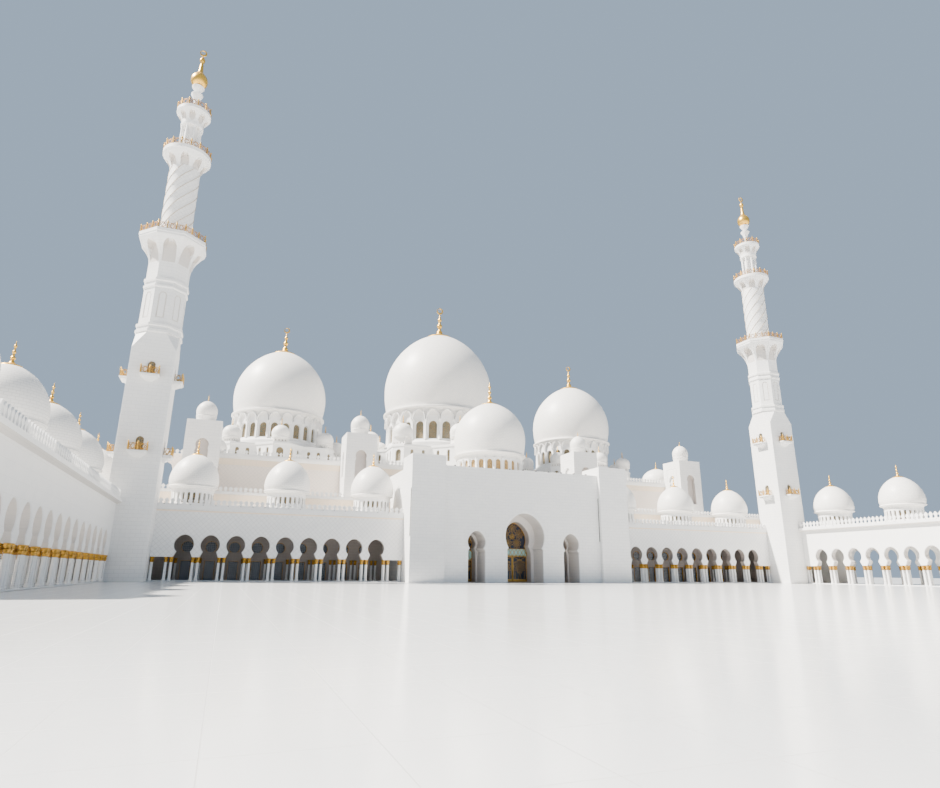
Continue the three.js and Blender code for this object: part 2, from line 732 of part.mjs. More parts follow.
// Eight-pointed base with a small dome on each point
function starBase(dome) {
  const corner = Math.tan(Math.PI / 8);
  const slide = (corner * dome.tip - dome.tipHalf) / (1 + corner);
  const outline = [];
  for (let i = 0; i < 8; i++) {
    const angle = (i * Math.PI) / 4;
    const local = [
      [dome.tip, -dome.tipHalf], [dome.tip, dome.tipHalf],
      [dome.tip - slide, dome.tipHalf + slide],
    ];
    for (const [radial, lateral] of local) {
      outline.push([
        dome.x + radial * Math.cos(angle) - lateral * Math.sin(angle),
        hallMiddleY + radial * Math.sin(angle) + lateral * Math.cos(angle),
      ]);
    }
  }
  const base = carve(prism(outline, hallRoofTopZ + seat, dome.starZ), [greatDomeHole(dome)]);
  const r = dome.satelliteRadius;
  const z = dome.satelliteCrownZ;
  const small = [];
  for (let i = 0; i < 8; i++) {
    const angle = (i * Math.PI) / 4;
    small.push(
      turned(
        [
          [0, dome.starZ - 0.2], [r * 0.85, dome.starZ - 0.2], [r, z - 1.1 * r],
          [r * 0.78, z - 0.45 * r], [0, z + 0.4],
        ],
        dome.x + dome.satellite * Math.cos(angle), hallMiddleY + dome.satellite * Math.sin(angle), 6,
      ),
    );
  }
  return join([base, ...small]);
}

// Windows round a drum, each a wedge that narrows towards the axis, with an arched head
function drumOpenings(dome, x, y) {
  const reach = dome.drum + 1;
  const half = dome.drum * drumWindowHalf;
  const springZ = dome.headZ - half;
  const outline = [
    [-half, dome.sillZ], [half, dome.sillZ], [half, springZ], [0, dome.headZ], [-half, springZ],
  ].map(([across, z]) => [x + across, z]);
  const cutter = plate(outline, y - reach, y - dome.drum + 1.5 * greatDomeShell);
  return Array.from({ length: drumWindows }, (_, i) =>
    turnedAbout(cutter, x, y, ((i + 0.5) * 2 * Math.PI) / drumWindows),
  );
}

function domeOnDrum(dome, x, y, footZ, shell, segments) {
  const outer = domeCurve(dome.ring, dome.ringZ, dome.radius, dome.wideZ, dome.crownZ, 1, 4);
  const inside = dome.drum - shell;
  const drop = dome.crownZ - shell - dome.wideZ;
  const ringRise = dome.ringZ - dome.bandZ;
  const inner = [0.75].map((height) => [
    inside * Math.sqrt(1 - height * height), dome.wideZ + drop * height,
  ]);
  const profile = [
    [inside, footZ], [dome.drum, footZ], [dome.drum, dome.bandZ - 0.6],
    [dome.lip, dome.bandZ + 0.6 * ringRise], [dome.lip, dome.bandZ + 0.8 * ringRise],
    ...outer, [dome.radius * 0.05, dome.crownZ], [0, dome.tipZ],
    [0, dome.crownZ - shell], ...inner, [inside, dome.wideZ],
  ];
  const whole = turned([...profile, profile[0]], x, y, segments);
  return carve(whole, drumOpenings(dome, x, y));
}

function hall() {
  add("hall_walls", hallWalls(), creamMarble);
  addPair(
    "terrace_roof",
    block(
      pylonOuterX + seat, hallHalf, backWallY + backWallThick + seat, hallFrontY - seat,
      terraceZ, terraceTopZ,
    ),
    creamMarble,
  );
  const left = { ...sideDome, x: -sideDome.x };
  const slab = block(-hallHalf, hallHalf, hallFrontY, hallBackY, hallWallTopZ + seat, hallRoofTopZ);
  const roof = carve(slab, [left, centreDome, sideDome].map(greatDomeHole));
  add("hall_roof", join([roof, ...cornerDomes()]), creamMarble);
  for (const [name, dome] of [["left", left], ["centre", centreDome], ["right", sideDome]]) {
    add(name + "_dome_base", starBase(dome), marble);
    const whole = domeOnDrum(
      dome, dome.x, hallMiddleY, dome.starZ + seat, greatDomeShell, drumWindows,
    );
    add(name + "_great_dome", whole, marble);
  }
  const entrance = domeOnDrum(
    entranceDome, 0, entranceDome.y, portalRoofZ + portalRoofThick + seat, 0.6, drumWindows,
  );
  add("entrance_dome", entrance, marble);
}

function turret(x) {
  const y = hallFrontY - seat - turretHalf;
  const tower = block(
    x - turretHalf, x + turretHalf, y - turretHalf, y + turretHalf, terraceTopZ + seat, turretTopZ,
  );
  const niche = plate(
    horseshoe(turretNiche, x, nicheFootZ, 4), y - turretHalf - 1, y - turretHalf + nicheDepth,
  );
  const { profile, tipZ: domeTipZ, sides } = turretDome;
  const dome = turned([[0, profile[0][1]], ...profile, [0, domeTipZ]], x, y, sides);
  return join([carve(tower, [niche]), dome]);
}

portal();
portalScreens();
arcades();
wings();
hall();
addPair("outer_turret", turret(turretXs.outer), marble);
addPair("inner_turret", turret(turretXs.inner), marble);
addPair("minaret_shaft", minaretShaft(), marble);
addPair("minaret_octagon", minaretOctagon(), marble);
addPair("minaret_twist", minaretTwist(), marble);
addPair("minaret_lantern", minaretLantern(), marble);
addPair("minaret_finial", minaretFinial(), gold);

// The origin is under the middle of the whole building, at ground level.
const middleY = (wingEndY - arcadeRoofLip + hallBackY) / 2;
building.scale.setScalar(modelMillimetresPerMetre);
building.position.y = -middleY * modelMillimetresPerMetre;

export default building;
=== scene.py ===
# %% [markdown]
# # A courtyard mosque of white marble, at one tenth of its size
# The solids of the building come packed, in metres, at 1:10. This lesson dresses them: smooth domes on
# windowed drums, horseshoe arches, gilded capitals and finials, parapets of carved merlons, and doors
# of gilded lattice. Every size below is in metres of the real building, because that is how a mason
# would read it, and one matrix brings each finished piece down to the model.

# %% Load the solids
import json
import math

import bmesh
import bpy
import numpy as np
from mathutils import Matrix, Vector

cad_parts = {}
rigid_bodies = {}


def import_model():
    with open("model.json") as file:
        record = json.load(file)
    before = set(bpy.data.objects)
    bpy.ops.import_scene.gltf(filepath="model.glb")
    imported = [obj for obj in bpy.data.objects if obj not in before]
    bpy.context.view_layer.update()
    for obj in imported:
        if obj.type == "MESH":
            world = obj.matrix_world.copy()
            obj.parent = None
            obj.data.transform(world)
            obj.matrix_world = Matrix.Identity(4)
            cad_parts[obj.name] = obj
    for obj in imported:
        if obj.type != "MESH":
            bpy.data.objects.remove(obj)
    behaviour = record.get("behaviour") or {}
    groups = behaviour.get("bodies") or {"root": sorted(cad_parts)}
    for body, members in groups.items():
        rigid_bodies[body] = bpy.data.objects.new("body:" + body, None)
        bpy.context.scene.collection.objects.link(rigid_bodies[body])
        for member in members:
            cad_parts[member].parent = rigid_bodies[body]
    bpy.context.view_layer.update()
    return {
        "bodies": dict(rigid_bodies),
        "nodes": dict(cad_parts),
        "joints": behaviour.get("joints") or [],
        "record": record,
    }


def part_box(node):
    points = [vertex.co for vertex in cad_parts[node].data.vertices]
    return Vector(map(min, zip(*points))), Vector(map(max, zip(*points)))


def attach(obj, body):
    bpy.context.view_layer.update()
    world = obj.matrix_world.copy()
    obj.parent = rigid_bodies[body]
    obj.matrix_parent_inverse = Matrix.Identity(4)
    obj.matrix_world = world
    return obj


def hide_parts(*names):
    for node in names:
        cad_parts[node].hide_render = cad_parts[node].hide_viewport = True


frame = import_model()
bpy.ops.object.select_all(action="DESELECT")

# %% From building metres to the model
MODEL_SCALE = 0.1
BODY = "building"
portal_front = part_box("portal_front_wall")[0].y
TO_MODEL = Matrix.Translation((0, portal_front, 0)) @ Matrix.Scale(MODEL_SCALE, 4)
MERGE = 0.0005

# %% [markdown]
# ## The camera, the light and the floor
# The photograph was taken at eye height in the court, well to the left of the axis, with a wide lens that
# looks up. A lens is its focal length against the picture's width, so the same picture needs the same
# ratio. The light is one high soft sun from the left, a little behind the front, and an even pale sky.

# %% Camera at the photograph's place
PICTURE_WIDTH = 940
FOCAL_PIXELS = 619.25
SENSOR_WIDTH = 36.0
EYE = Vector((-55.964, -115.23, 1.942))
YAW_RIGHT = 0.363
PITCH_UP = 0.28
ROLL = 0.009

lens = bpy.data.cameras.new("court_lens")
lens.sensor_width = SENSOR_WIDTH
lens.lens = FOCAL_PIXELS / PICTURE_WIDTH * SENSOR_WIDTH
lens.clip_start = 0.05
lens.clip_end = 200
camera = bpy.data.objects.new("court_camera", lens)
bpy.context.scene.collection.objects.link(camera)
turn = (
    Matrix.Rotation(-YAW_RIGHT, 4, "Z")
    @ Matrix.Rotation(math.pi / 2 + PITCH_UP, 4, "X")
    @ Matrix.Rotation(ROLL, 4, "Z")
)
camera.matrix_world = Matrix.Translation(TO_MODEL @ EYE) @ turn
bpy.context.scene.camera = camera

# %% Sun, sky and floor
SUN_FROM = Vector((-0.86, 0.22, 1.05))
SUN_STRENGTH = 22.0
SUN_COLOUR = (1.0, 0.95, 0.87)
SUN_SOFTNESS = math.radians(2.5)
SKY_COLOUR = (0.58, 0.76, 1.0, 1)
SKY_STRENGTH = 0.65
FLOOR_SIZE = 120.0
FLOOR_DROP = 0.002

bpy.ops.object.light_add(type="SUN", location=(-8, 4, 14))
sun = bpy.context.object
sun.name = "sun"
sun.data.energy = SUN_STRENGTH
sun.data.angle = SUN_SOFTNESS
sun.data.color = SUN_COLOUR
sun.rotation_mode = "QUATERNION"
sun.rotation_quaternion = SUN_FROM.to_track_quat("Z", "Y")

sky = bpy.data.worlds.new("pale_sky")
sky.use_nodes = True
sky.node_tree.nodes["Background"].inputs["Color"].default_value = SKY_COLOUR
sky.node_tree.nodes["Background"].inputs["Strength"].default_value = SKY_STRENGTH
bpy.context.scene.world = sky

bpy.ops.mesh.primitive_plane_add(size=FLOOR_SIZE, location=(0, 0, -FLOOR_DROP))
court_floor = bpy.context.object
court_floor.name = "pale_floor"

# %% [markdown]
# ## The mason's tools
# Nearly every piece here begins as a drawn line. A plane is merged into one point, and the point is
# extruded from place to place. Closed, the line becomes a face and is pushed into a plate or a moulding.
# Spun about the upright axis, it becomes a dome, a column or a ball. What repeats is made once, copied
# and joined. Each piece also gets a UV map in metres, so that courses of stone keep their size on it.

# %% Drawing a line of points


def only(*pieces):
    """Just these pieces are selected, the first one active."""
    bpy.ops.object.select_all(action="DESELECT")
    for piece in pieces:
        piece.select_set(True)
    bpy.context.view_layer.objects.active = pieces[0]


def edit(piece):
    only(piece)
    bpy.ops.object.mode_set(mode="EDIT")
    bpy.ops.mesh.select_all(action="SELECT")


def drawn(points, closed=False):
    """A line through the points, left open in edit mode. Closed, it is filled with one face."""
    bpy.ops.object.select_all(action="DESELECT")
    bpy.ops.mesh.primitive_plane_add(size=0.01)
    line = bpy.context.object
    bpy.ops.object.mode_set(mode="EDIT")
    bpy.ops.mesh.select_all(action="SELECT")
    bpy.ops.mesh.merge(type="CENTER")
    bpy.ops.transform.translate(value=points[0])
    for here, there in zip(points, points[1:]):
        step = Vector(there) - Vector(here)
        bpy.ops.mesh.extrude_vertices_move(TRANSFORM_OT_translate={"value": step})
    bpy.ops.mesh.select_all(action="SELECT")
    if closed:
        bpy.ops.mesh.edge_face_add()
    return line


def finish_edit():
    """Faces turned outwards, and back to object mode."""
    bpy.ops.mesh.select_all(action="SELECT")
    bpy.ops.mesh.normals_make_consistent(inside=False)
    bpy.ops.object.mode_set(mode="OBJECT")


def pick(piece, kind, test):
    """In edit mode, selects the verts, edges or faces for which the test is true."""
    bpy.ops.mesh.select_all(action="DESELECT")
    cage = bmesh.from_edit_mesh(piece.data)
    for part in getattr(cage, kind):
        if test(part):
            part.select_set(True)
    if kind == "verts":
        cage.select_flush(True)
    bmesh.update_edit_mesh(piece.data)


# %% UV maps in metres


def read(collection, field, width, kind=np.float32):
    values = np.empty(len(collection) * width, kind)
    collection.foreach_get(field, values)
    return values.reshape(-1, width) if width > 1 else values


def write_uv(piece, uv):
    layer = piece.data.uv_layers.active or piece.data.uv_layers.new(name="courses")
    layer.data.foreach_set("uv", np.asarray(uv, np.float32).ravel())
    layer.name = "courses"


def face_uv(piece):
    """Each face is seen straight on: level lines across, and up the slope."""
    mesh = piece.data
    places = read(mesh.vertices, "co", 3)[read(mesh.loops, "vertex_index", 1, np.int32)]
    sizes = read(mesh.polygons, "loop_total", 1, np.int32)
    normals = np.repeat(read(mesh.polygons, "normal", 3), sizes, axis=0)
    level = np.hypot(normals[:, 0], normals[:, 1])
    flat = level < 0.15
    safe = np.where(flat, 1, level)
    zero = np.zeros_like(level)
    one = np.ones_like(level)
    across = np.stack([-normals[:, 1] / safe, normals[:, 0] / safe, zero], axis=1)
    across[flat] = np.stack([one, zero, zero], axis=1)[flat]
    up = np.cross(normals, across)
    write_uv(piece, np.stack([(places * across).sum(1), (places * up).sum(1)], axis=1))


def wrap_uv(piece, profile):
    """Round a turned piece: metres round its widest ring, and metres along its profile."""
    mesh = piece.data
    places = read(mesh.vertices, "co", 3)
    corners = read(mesh.loops, "vertex_index", 1, np.int32)
    sizes = read(mesh.polygons, "loop_total", 1, np.int32)
    middles = np.repeat(read(mesh.polygons, "center", 3), sizes, axis=0)
    line = np.array(profile)
    steps = np.hypot(*np.diff(line, axis=0).T)
    along = np.concatenate([[0], np.cumsum(steps)])
    reach = np.hypot(places[:, 0], places[:, 1])
    far = (reach[:, None] - line[None, :, 0]) ** 2 + (places[:, 2][:, None] - line[None, :, 1]) ** 2
    height = along[far.argmin(axis=1)]
    middle = np.arctan2(middles[:, 1], middles[:, 0])
    angle = np.arctan2(places[:, 1], places[:, 0])[corners]
    angle = np.where(reach[corners] < 1e-3, middle, angle)
    turn = (angle - middle + math.pi) % (2 * math.pi) - math.pi
    write_uv(piece, np.stack([(middle + turn) * line[:, 0].max(), height[corners]], axis=1))


# %% Plates, blocks and turned bodies


def sawn(border, push):
    """A solid with this closed border, pushed along a direction."""
    piece = drawn(border, closed=True)
    bpy.ops.mesh.extrude_region_move(TRANSFORM_OT_translate={"value": push})
    finish_edit()
    face_uv(piece)
    return piece


def plate(outline, y0, y1):
    """A plate drawn in x and z, from y0 back to y1."""
    return sawn([(x, y0, z) for x, z in outline], (0, y1 - y0, 0))


def moulding(profile, x0, x1):
    """A moulding along x, drawn in y and z."""
    return sawn([(x0, y, z) for y, z in profile], (x1 - x0, 0, 0))


def prism(outline, z0, z1):
    """An upright solid drawn in x and y."""
    return sawn([(x, y, z0) for x, y in outline], (0, 0, z1 - z0))


def block(x0, x1, y0, y1, z0, z1, bevel=0.0):
    """A squared block, its edges taken off by the bevel."""
    bpy.ops.object.select_all(action="DESELECT")
    bpy.ops.mesh.primitive_cube_add(size=1)
    piece = bpy.context.object
    bpy.ops.object.mode_set(mode="EDIT")
    bpy.ops.mesh.select_all(action="SELECT")
    bpy.ops.transform.resize(value=(x1 - x0, y1 - y0, z1 - z0))
    bpy.ops.transform.translate(value=((x0 + x1) / 2, (y0 + y1) / 2, (z0 + z1) / 2))
    if bevel:
        bpy.ops.mesh.bevel(offset=bevel, segments=1, affect="EDGES")
    finish_edit()
    face_uv(piece)
    return piece


def turned(profile, steps=64, turn=0.0, loop=False):
    """A body spun from pairs of radius and height. A loop profile closes on itself."""
    profile = list(profile) + ([profile[0]] if loop else [])
    reach_x, reach_y = math.cos(turn), math.sin(turn)
    piece = drawn([(radius * reach_x, radius * reach_y, z) for radius, z in profile])
    bpy.ops.mesh.spin(steps=steps, angle=2 * math.pi, center=(0, 0, 0), axis=(0, 0, 1))
    bpy.ops.mesh.select_all(action="SELECT")
    bpy.ops.mesh.remove_doubles(threshold=MERGE)
    if not loop:
        bpy.ops.mesh.fill_holes(sides=0)
    finish_edit()
    if steps > 8:
        wrap_uv(piece, profile)
    else:
        face_uv(piece)
    return piece


# %% Copies, joins and cuts


def joined(pieces):
    pieces = list(pieces)
    if len(pieces) > 1:
        only(*pieces)
        bpy.ops.object.join()
    return pieces[0]


def at(x, y, z=0.0, angle=0.0, size=1.0):
    """A place: moved to x, y, z and turned about the upright axis there."""
    return Matrix.Translation((x, y, z)) @ Matrix.Rotation(angle, 4, "Z") @ Matrix.Scale(size, 4)


def copies(piece, places):
    """The piece once at each place, joined into one. The piece itself is used up."""
    made = []
    for place in places:
        mesh = piece.data.copy()
        mesh.transform(place)
        if place.determinant() < 0:
            mesh.flip_normals()
        copy = bpy.data.objects.new(piece.name, mesh)
        bpy.context.scene.collection.objects.link(copy)
        made.append(copy)
    bpy.data.objects.remove(piece)
    return joined(made)


def ring_of(piece, count, start=0.0):
    """Copies turned evenly round the upright axis at the origin."""
    return copies(piece, [at(0, 0, angle=start + 2 * math.pi * i / count) for i in range(count)])


def cut_away(piece, cutter, remap=True, crossing=False):
    """Saws a solid out of the piece. A saw whose parts cross each other is said to be crossing."""
    only(piece)
    saw = piece.modifiers.new("saw", "BOOLEAN")
    saw.object = cutter
    saw.operation = "DIFFERENCE"
    saw.solver = "EXACT"
    saw.use_self = crossing
    bpy.ops.object.modifier_apply(modifier=saw.name)
    bpy.data.objects.remove(cutter)
    if remap:
        face_uv(piece)
    return piece


MIRROR = Matrix.Diagonal((-1, 1, 1, 1))
BOTH_SIDES = [Matrix.Identity(4), MIRROR]
piece_count = 0


def settle(piece, name, material, slot="white_marble", body=BODY, replaces=(), sharp=40.0):
    """Brings a finished piece to the model: its name, stone, body and place in the mesh."""
    global piece_count
    piece.name = name
    piece.data.name = name
    piece.data.transform(TO_MODEL)
    piece.data.materials.clear()
    piece.data.materials.append(material)
    only(piece)
    bpy.ops.object.shade_smooth_by_angle(angle=math.radians(sharp))
    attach(piece, body)
    if replaces:
        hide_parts(*replaces)
    piece_count += 1
    return piece


def sides(name):
    """The names of a left and a right node."""
    return "left_" + name, "right_" + name

# %% [markdown]
# ## Stone, gold and glass
# White marble is never one white. Each block is cut from another part of the quarry, so its tone differs
# a little from its neighbour's, the joints are fine darker lines, and faint grey veins cross them. One
# node group makes the veins and another makes the courses. The walls of the galleries are hung with
# small square tiles set on their points, the domes with narrow courses, and the shafts of the minarets
# with large blocks.

# %% Node helpers


def link(tree, out, into):
    tree.links.new(out, into)


def node(tree, kind, **settings):
    made = tree.nodes.new(kind)
    for name, value in settings.items():
        setattr(made, name, value)
    return made


def math_node(tree, operation, first, second=None, clamp=False):
    """A Math node fed by sockets or plain numbers."""
    made = node(tree, "ShaderNodeMath", operation=operation, use_clamp=clamp)
    for i, value in enumerate((first, second)):
        if value is None:
            continue
        if isinstance(value, (int, float)):
            made.inputs[i].default_value = value
        else:
            link(tree, value, made.inputs[i])
    return made.outputs[0]


def mixed(tree, factor, first, second):
    """A colour mix fed by sockets or plain colours."""
    made = node(tree, "ShaderNodeMix", data_type="RGBA")
    for socket, value in ((made.inputs[0], factor), (made.inputs[6], first), (made.inputs[7], second)):
        if isinstance(value, (int, float, tuple)):
            socket.default_value = value
        else:
            link(tree, value, socket)
    return made.outputs[2]


def mixed_value(tree, factor, first, second):
    """A mix of two numbers fed by sockets."""
    made = node(tree, "ShaderNodeMix", data_type="FLOAT")
    link(tree, factor, made.inputs[0])
    link(tree, first, made.inputs[2])
    link(tree, second, made.inputs[3])
    return made.outputs[0]


def dials(made, values):
    """Sets the inputs of a node by their names."""
    for name, value in values.items():
        made.inputs[name].default_value = value


def sockets(tree, inputs, outputs):
    """Gives a group its inputs and outputs, and returns the nodes at its two ends."""
    for in_out, listed in (("INPUT", inputs), ("OUTPUT", outputs)):
        for name, kind in listed.items():
            tree.interface.new_socket(name, in_out=in_out, socket_type="NodeSocket" + kind)
    return node(tree, "NodeGroupInput"), node(tree, "NodeGroupOutput")


def new_material(name):
    """A new material, its tree and its shader."""
    made = bpy.data.materials.new(name)
    made.use_nodes = True
    return made, made.node_tree, made.node_tree.nodes["Principled BSDF"]


def bumped(tree, shader, height, strength, distance):
    """Lets a height in the tree raise the surface."""
    bump = node(tree, "ShaderNodeBump")
    dials(bump, {"Strength": strength, "Distance": distance})
    link(tree, height, bump.inputs["Height"])
    link(tree, bump.outputs[0], shader.inputs["Normal"])


# %% A group for the marble's own tone and veins
VEIN_SHARPNESS = 14.0
JOINT_SHADE = 0.55
JOINT_GREY = (0.52, 0.5, 0.48, 1)
ROUGHNESS_LOW, ROUGHNESS_GRIT, ROUGHNESS_JOINT = 0.34, 0.16, 0.3
GRIT_HEIGHT = 0.08
FLAT_NORMAL = 0.75


def marble_group():
    """Colour, roughness and height of honed marble, from a place in metres."""
    tree = bpy.data.node_groups.new("honed_marble", "ShaderNodeTree")
    given, out = sockets(
        tree,
        {"Place": "Vector", "Stone": "Color", "Vein": "Color", "Vein Strength": "Float",
         "Block Tone": "Float", "Joint": "Float"},
        {"Colour": "Color", "Roughness": "Float", "Height": "Float"},
    )
    cloud = node(tree, "ShaderNodeTexNoise")
    dials(cloud, {"Scale": 0.16, "Detail": 5, "Distortion": 1.2})
    link(tree, given.outputs["Place"], cloud.inputs["Vector"])
    away = math_node(tree, "ABSOLUTE", math_node(tree, "SUBTRACT", cloud.outputs["Fac"], 0.5))
    thin = math_node(tree, "SUBTRACT", 1.0, math_node(tree, "MULTIPLY", away, VEIN_SHARPNESS), clamp=True)
    amount = math_node(tree, "MULTIPLY", thin, given.outputs["Vein Strength"])
    veined = mixed(tree, amount, given.outputs["Stone"], given.outputs["Vein"])
    toned = mixed(tree, given.outputs["Block Tone"], veined, given.outputs["Vein"])
    shade = math_node(tree, "MULTIPLY", given.outputs["Joint"], JOINT_SHADE)
    jointed = mixed(tree, shade, toned, JOINT_GREY)
    link(tree, jointed, out.inputs["Colour"])
    grit = node(tree, "ShaderNodeTexNoise")
    dials(grit, {"Scale": 9.0, "Detail": 3})
    link(tree, given.outputs["Place"], grit.inputs["Vector"])
    gritty = math_node(tree, "MULTIPLY", grit.outputs["Fac"], ROUGHNESS_GRIT)
    rough = math_node(tree, "ADD", gritty, ROUGHNESS_LOW)
    open_joint = math_node(tree, "MULTIPLY", given.outputs["Joint"], ROUGHNESS_JOINT)
    link(tree, math_node(tree, "ADD", rough, open_joint), out.inputs["Roughness"])
    raised = math_node(tree, "MULTIPLY", grit.outputs["Fac"], GRIT_HEIGHT)
    link(tree, math_node(tree, "SUBTRACT", raised, given.outputs["Joint"]), out.inputs["Height"])
    return tree


def wall_place_group():
    """Metres across and up on an upright wall of a solid, from Object coordinates and the normal."""
    tree = bpy.data.node_groups.new("wall_place", "ShaderNodeTree")
    given, out = sockets(tree, {"Object": "Vector"}, {"Across": "Vector"})
    seen = node(tree, "ShaderNodeNewGeometry")
    facing = node(tree, "ShaderNodeSeparateXYZ")
    link(tree, seen.outputs["True Normal"], facing.inputs[0])
    place = node(tree, "ShaderNodeSeparateXYZ")
    link(tree, given.outputs["Object"], place.inputs[0])
    side = math_node(tree, "ABSOLUTE", facing.outputs["X"])
    front = math_node(tree, "ABSOLUTE", facing.outputs["Y"])
    up = math_node(tree, "ABSOLUTE", facing.outputs["Z"])
    is_side = math_node(tree, "GREATER_THAN", side, front)
    is_flat = math_node(tree, "GREATER_THAN", up, FLAT_NORMAL)
    across = mixed_value(tree, is_side, place.outputs["X"], place.outputs["Y"])
    over = mixed_value(tree, is_flat, place.outputs["Z"], place.outputs["Y"])
    joined_place = node(tree, "ShaderNodeCombineXYZ")
    link(tree, across, joined_place.inputs["X"])
    link(tree, over, joined_place.inputs["Y"])
    link(tree, joined_place.outputs[0], out.inputs["Across"])
    return tree


HONED_MARBLE = marble_group()
WALL_PLACE = wall_place_group()

# %% Marble materials
WHITE = (0.86, 0.85, 0.83, 1)
CREAM = (0.89, 0.78, 0.69, 1)
# The taupe, light taupe and pale stones are painted shade: they darken what lies in shade in arches,
# niches and behind the arcades.
SHADE_TAUPE = (0.36, 0.31, 0.28, 1)
SHADE_LIGHT_TAUPE = (0.56, 0.51, 0.48, 1)
SHADE_PALE_STONE = (0.67, 0.63, 0.6, 1)
GREY_VEIN = (0.66, 0.67, 0.69, 1)
WARM_VEIN = (0.76, 0.68, 0.58, 1)
DARK_VEIN = (0.3, 0.26, 0.24, 1)


def coursed_marble(
    name, stone, vein=GREY_VEIN, length=1.2, course=0.6, joint=0.018, offset=0.5, slant=0.0,
    on_uv=True, vein_strength=0.12, tone=0.16, gloss=0.0,
):
    """Marble in courses. slant turns the courses, which makes square tiles stand on their points."""
    made, tree, shader = new_material(name)
    where = node(tree, "ShaderNodeTexCoord")
    grown = node(tree, "ShaderNodeMapping")
    grown.inputs["Scale"].default_value = (1 / MODEL_SCALE,) * 3
    link(tree, where.outputs["Object"], grown.inputs["Vector"])
    if on_uv:
        flat = node(tree, "ShaderNodeUVMap", uv_map="courses").outputs["UV"]
    else:
        wall = node(tree, "ShaderNodeGroup", node_tree=WALL_PLACE)
        link(tree, grown.outputs[0], wall.inputs["Object"])
        flat = wall.outputs["Across"]
    aim = node(tree, "ShaderNodeMapping")
    aim.inputs["Rotation"].default_value = (0, 0, slant)
    link(tree, flat, aim.inputs["Vector"])
    bricks = node(tree, "ShaderNodeTexBrick", offset=offset, offset_frequency=2)
    dials(bricks, {
        "Color1": (0, 0, 0, 1), "Color2": (1, 1, 1, 1), "Mortar": (0.5, 0.5, 0.5, 1), "Scale": 1,
        "Mortar Size": joint, "Mortar Smooth": 0.3, "Brick Width": length, "Row Height": course,
    })
    link(tree, aim.outputs[0], bricks.inputs["Vector"])
    stonework = node(tree, "ShaderNodeGroup", node_tree=HONED_MARBLE)
    dials(stonework, {"Stone": stone, "Vein": vein, "Vein Strength": vein_strength})
    link(tree, grown.outputs[0], stonework.inputs["Place"])
    link(tree, math_node(tree, "MULTIPLY", bricks.outputs["Color"], tone), stonework.inputs["Block Tone"])
    link(tree, bricks.outputs["Fac"], stonework.inputs["Joint"])
    bumped(tree, shader, stonework.outputs["Height"], strength=0.35, distance=0.002)
    link(tree, stonework.outputs["Colour"], shader.inputs["Base Color"])
    polish = math_node(tree, "SUBTRACT", stonework.outputs["Roughness"], gloss, clamp=True)
    link(tree, polish, shader.inputs["Roughness"])
    return made


BLOCKS = {"length": 1.45, "course": 0.62}
TILES = {"length": 0.62, "course": 0.62, "offset": 0.0, "slant": math.radians(45), "joint": 0.03}
block_marble = coursed_marble("block_marble", WHITE, **BLOCKS)
block_marble_solid = coursed_marble("block_marble_solid", WHITE, on_uv=False, **BLOCKS)
smooth_marble = coursed_marble("smooth_marble", WHITE, length=2.6, course=1.3, joint=0.008, tone=0.07)
tile_marble = coursed_marble("tile_marble", WHITE, tone=0.2, **TILES)
cream_tiles = coursed_marble("cream_tiles", CREAM, WARM_VEIN, tone=0.24, **TILES)
cream_tiles_solid = coursed_marble(
    "cream_tiles_solid", CREAM, WARM_VEIN, tone=0.24, on_uv=False, **TILES
)
cream_band = coursed_marble("cream_band", (0.93, 0.76, 0.58, 1), WARM_VEIN, length=2.4, course=2.4)
dome_marble = coursed_marble(
    "dome_marble", (0.9, 0.87, 0.82, 1), length=0.7, course=0.35, joint=0.03, tone=0.22
)
roof_marble = coursed_marble("roof_marble", (0.8, 0.78, 0.74, 1), length=1.2, course=1.2, on_uv=False)
# Darker stones that paint shade: taupe behind the arcades, in their arches and inside the small domes;
# the niche stone in niches and under cornices.
shade_taupe_marble = coursed_marble("shade_taupe_marble", SHADE_TAUPE, DARK_VEIN)
niche_shade_marble = coursed_marble("niche_shade_marble", (0.66, 0.62, 0.58, 1), WARM_VEIN, **BLOCKS)
tan_marble = coursed_marble("tan_marble", (0.42, 0.31, 0.17, 1), WARM_VEIN, **BLOCKS)
# Painted shade as well: pale and grey stone in the gateway, the wing arches and the turret niches.
shade_pale_marble = coursed_marble("shade_pale_marble", SHADE_PALE_STONE, WARM_VEIN, **BLOCKS)
shade_grey_marble = coursed_marble("shade_grey_marble", SHADE_LIGHT_TAUPE, SHADE_TAUPE, vein_strength=0.05, **BLOCKS)
floor_marble = coursed_marble(
    "floor_marble", (0.8, 0.8, 0.79, 1), length=2.0, course=2.0, offset=0.0, on_uv=False,
    joint=0.01, tone=0.05, gloss=0.26,
)
court_floor.data.materials.append(floor_marble)

# %% Inlaid marble of the wing columns


def inlaid_marble():
    """White marble with small dark and purple flowers of inlay, in rows round the shaft."""
    made, tree, shader = new_material("inlaid_marble")
    where = node(tree, "ShaderNodeTexCoord")
    spots = node(tree, "ShaderNodeTexVoronoi", feature="F1")
    dials(spots, {"Scale": 52.0, "Randomness": 0.15})
    link(tree, where.outputs["Object"], spots.inputs["Vector"])
    inside = math_node(tree, "LESS_THAN", spots.outputs["Distance"], 0.24)
    pick = node(tree, "ShaderNodeSeparateColor")
    link(tree, spots.outputs["Color"], pick.inputs[0])
    stone = mixed(tree, pick.outputs[0], (0.16, 0.08, 0.14, 1), (0.12, 0.17, 0.16, 1))
    link(tree, mixed(tree, inside, WHITE, stone), shader.inputs["Base Color"])
    polish = math_node(tree, "MULTIPLY", inside, 0.2)
    link(tree, math_node(tree, "SUBTRACT", 0.38, polish), shader.inputs["Roughness"])
    return made


inlay = inlaid_marble()

# %% Gold


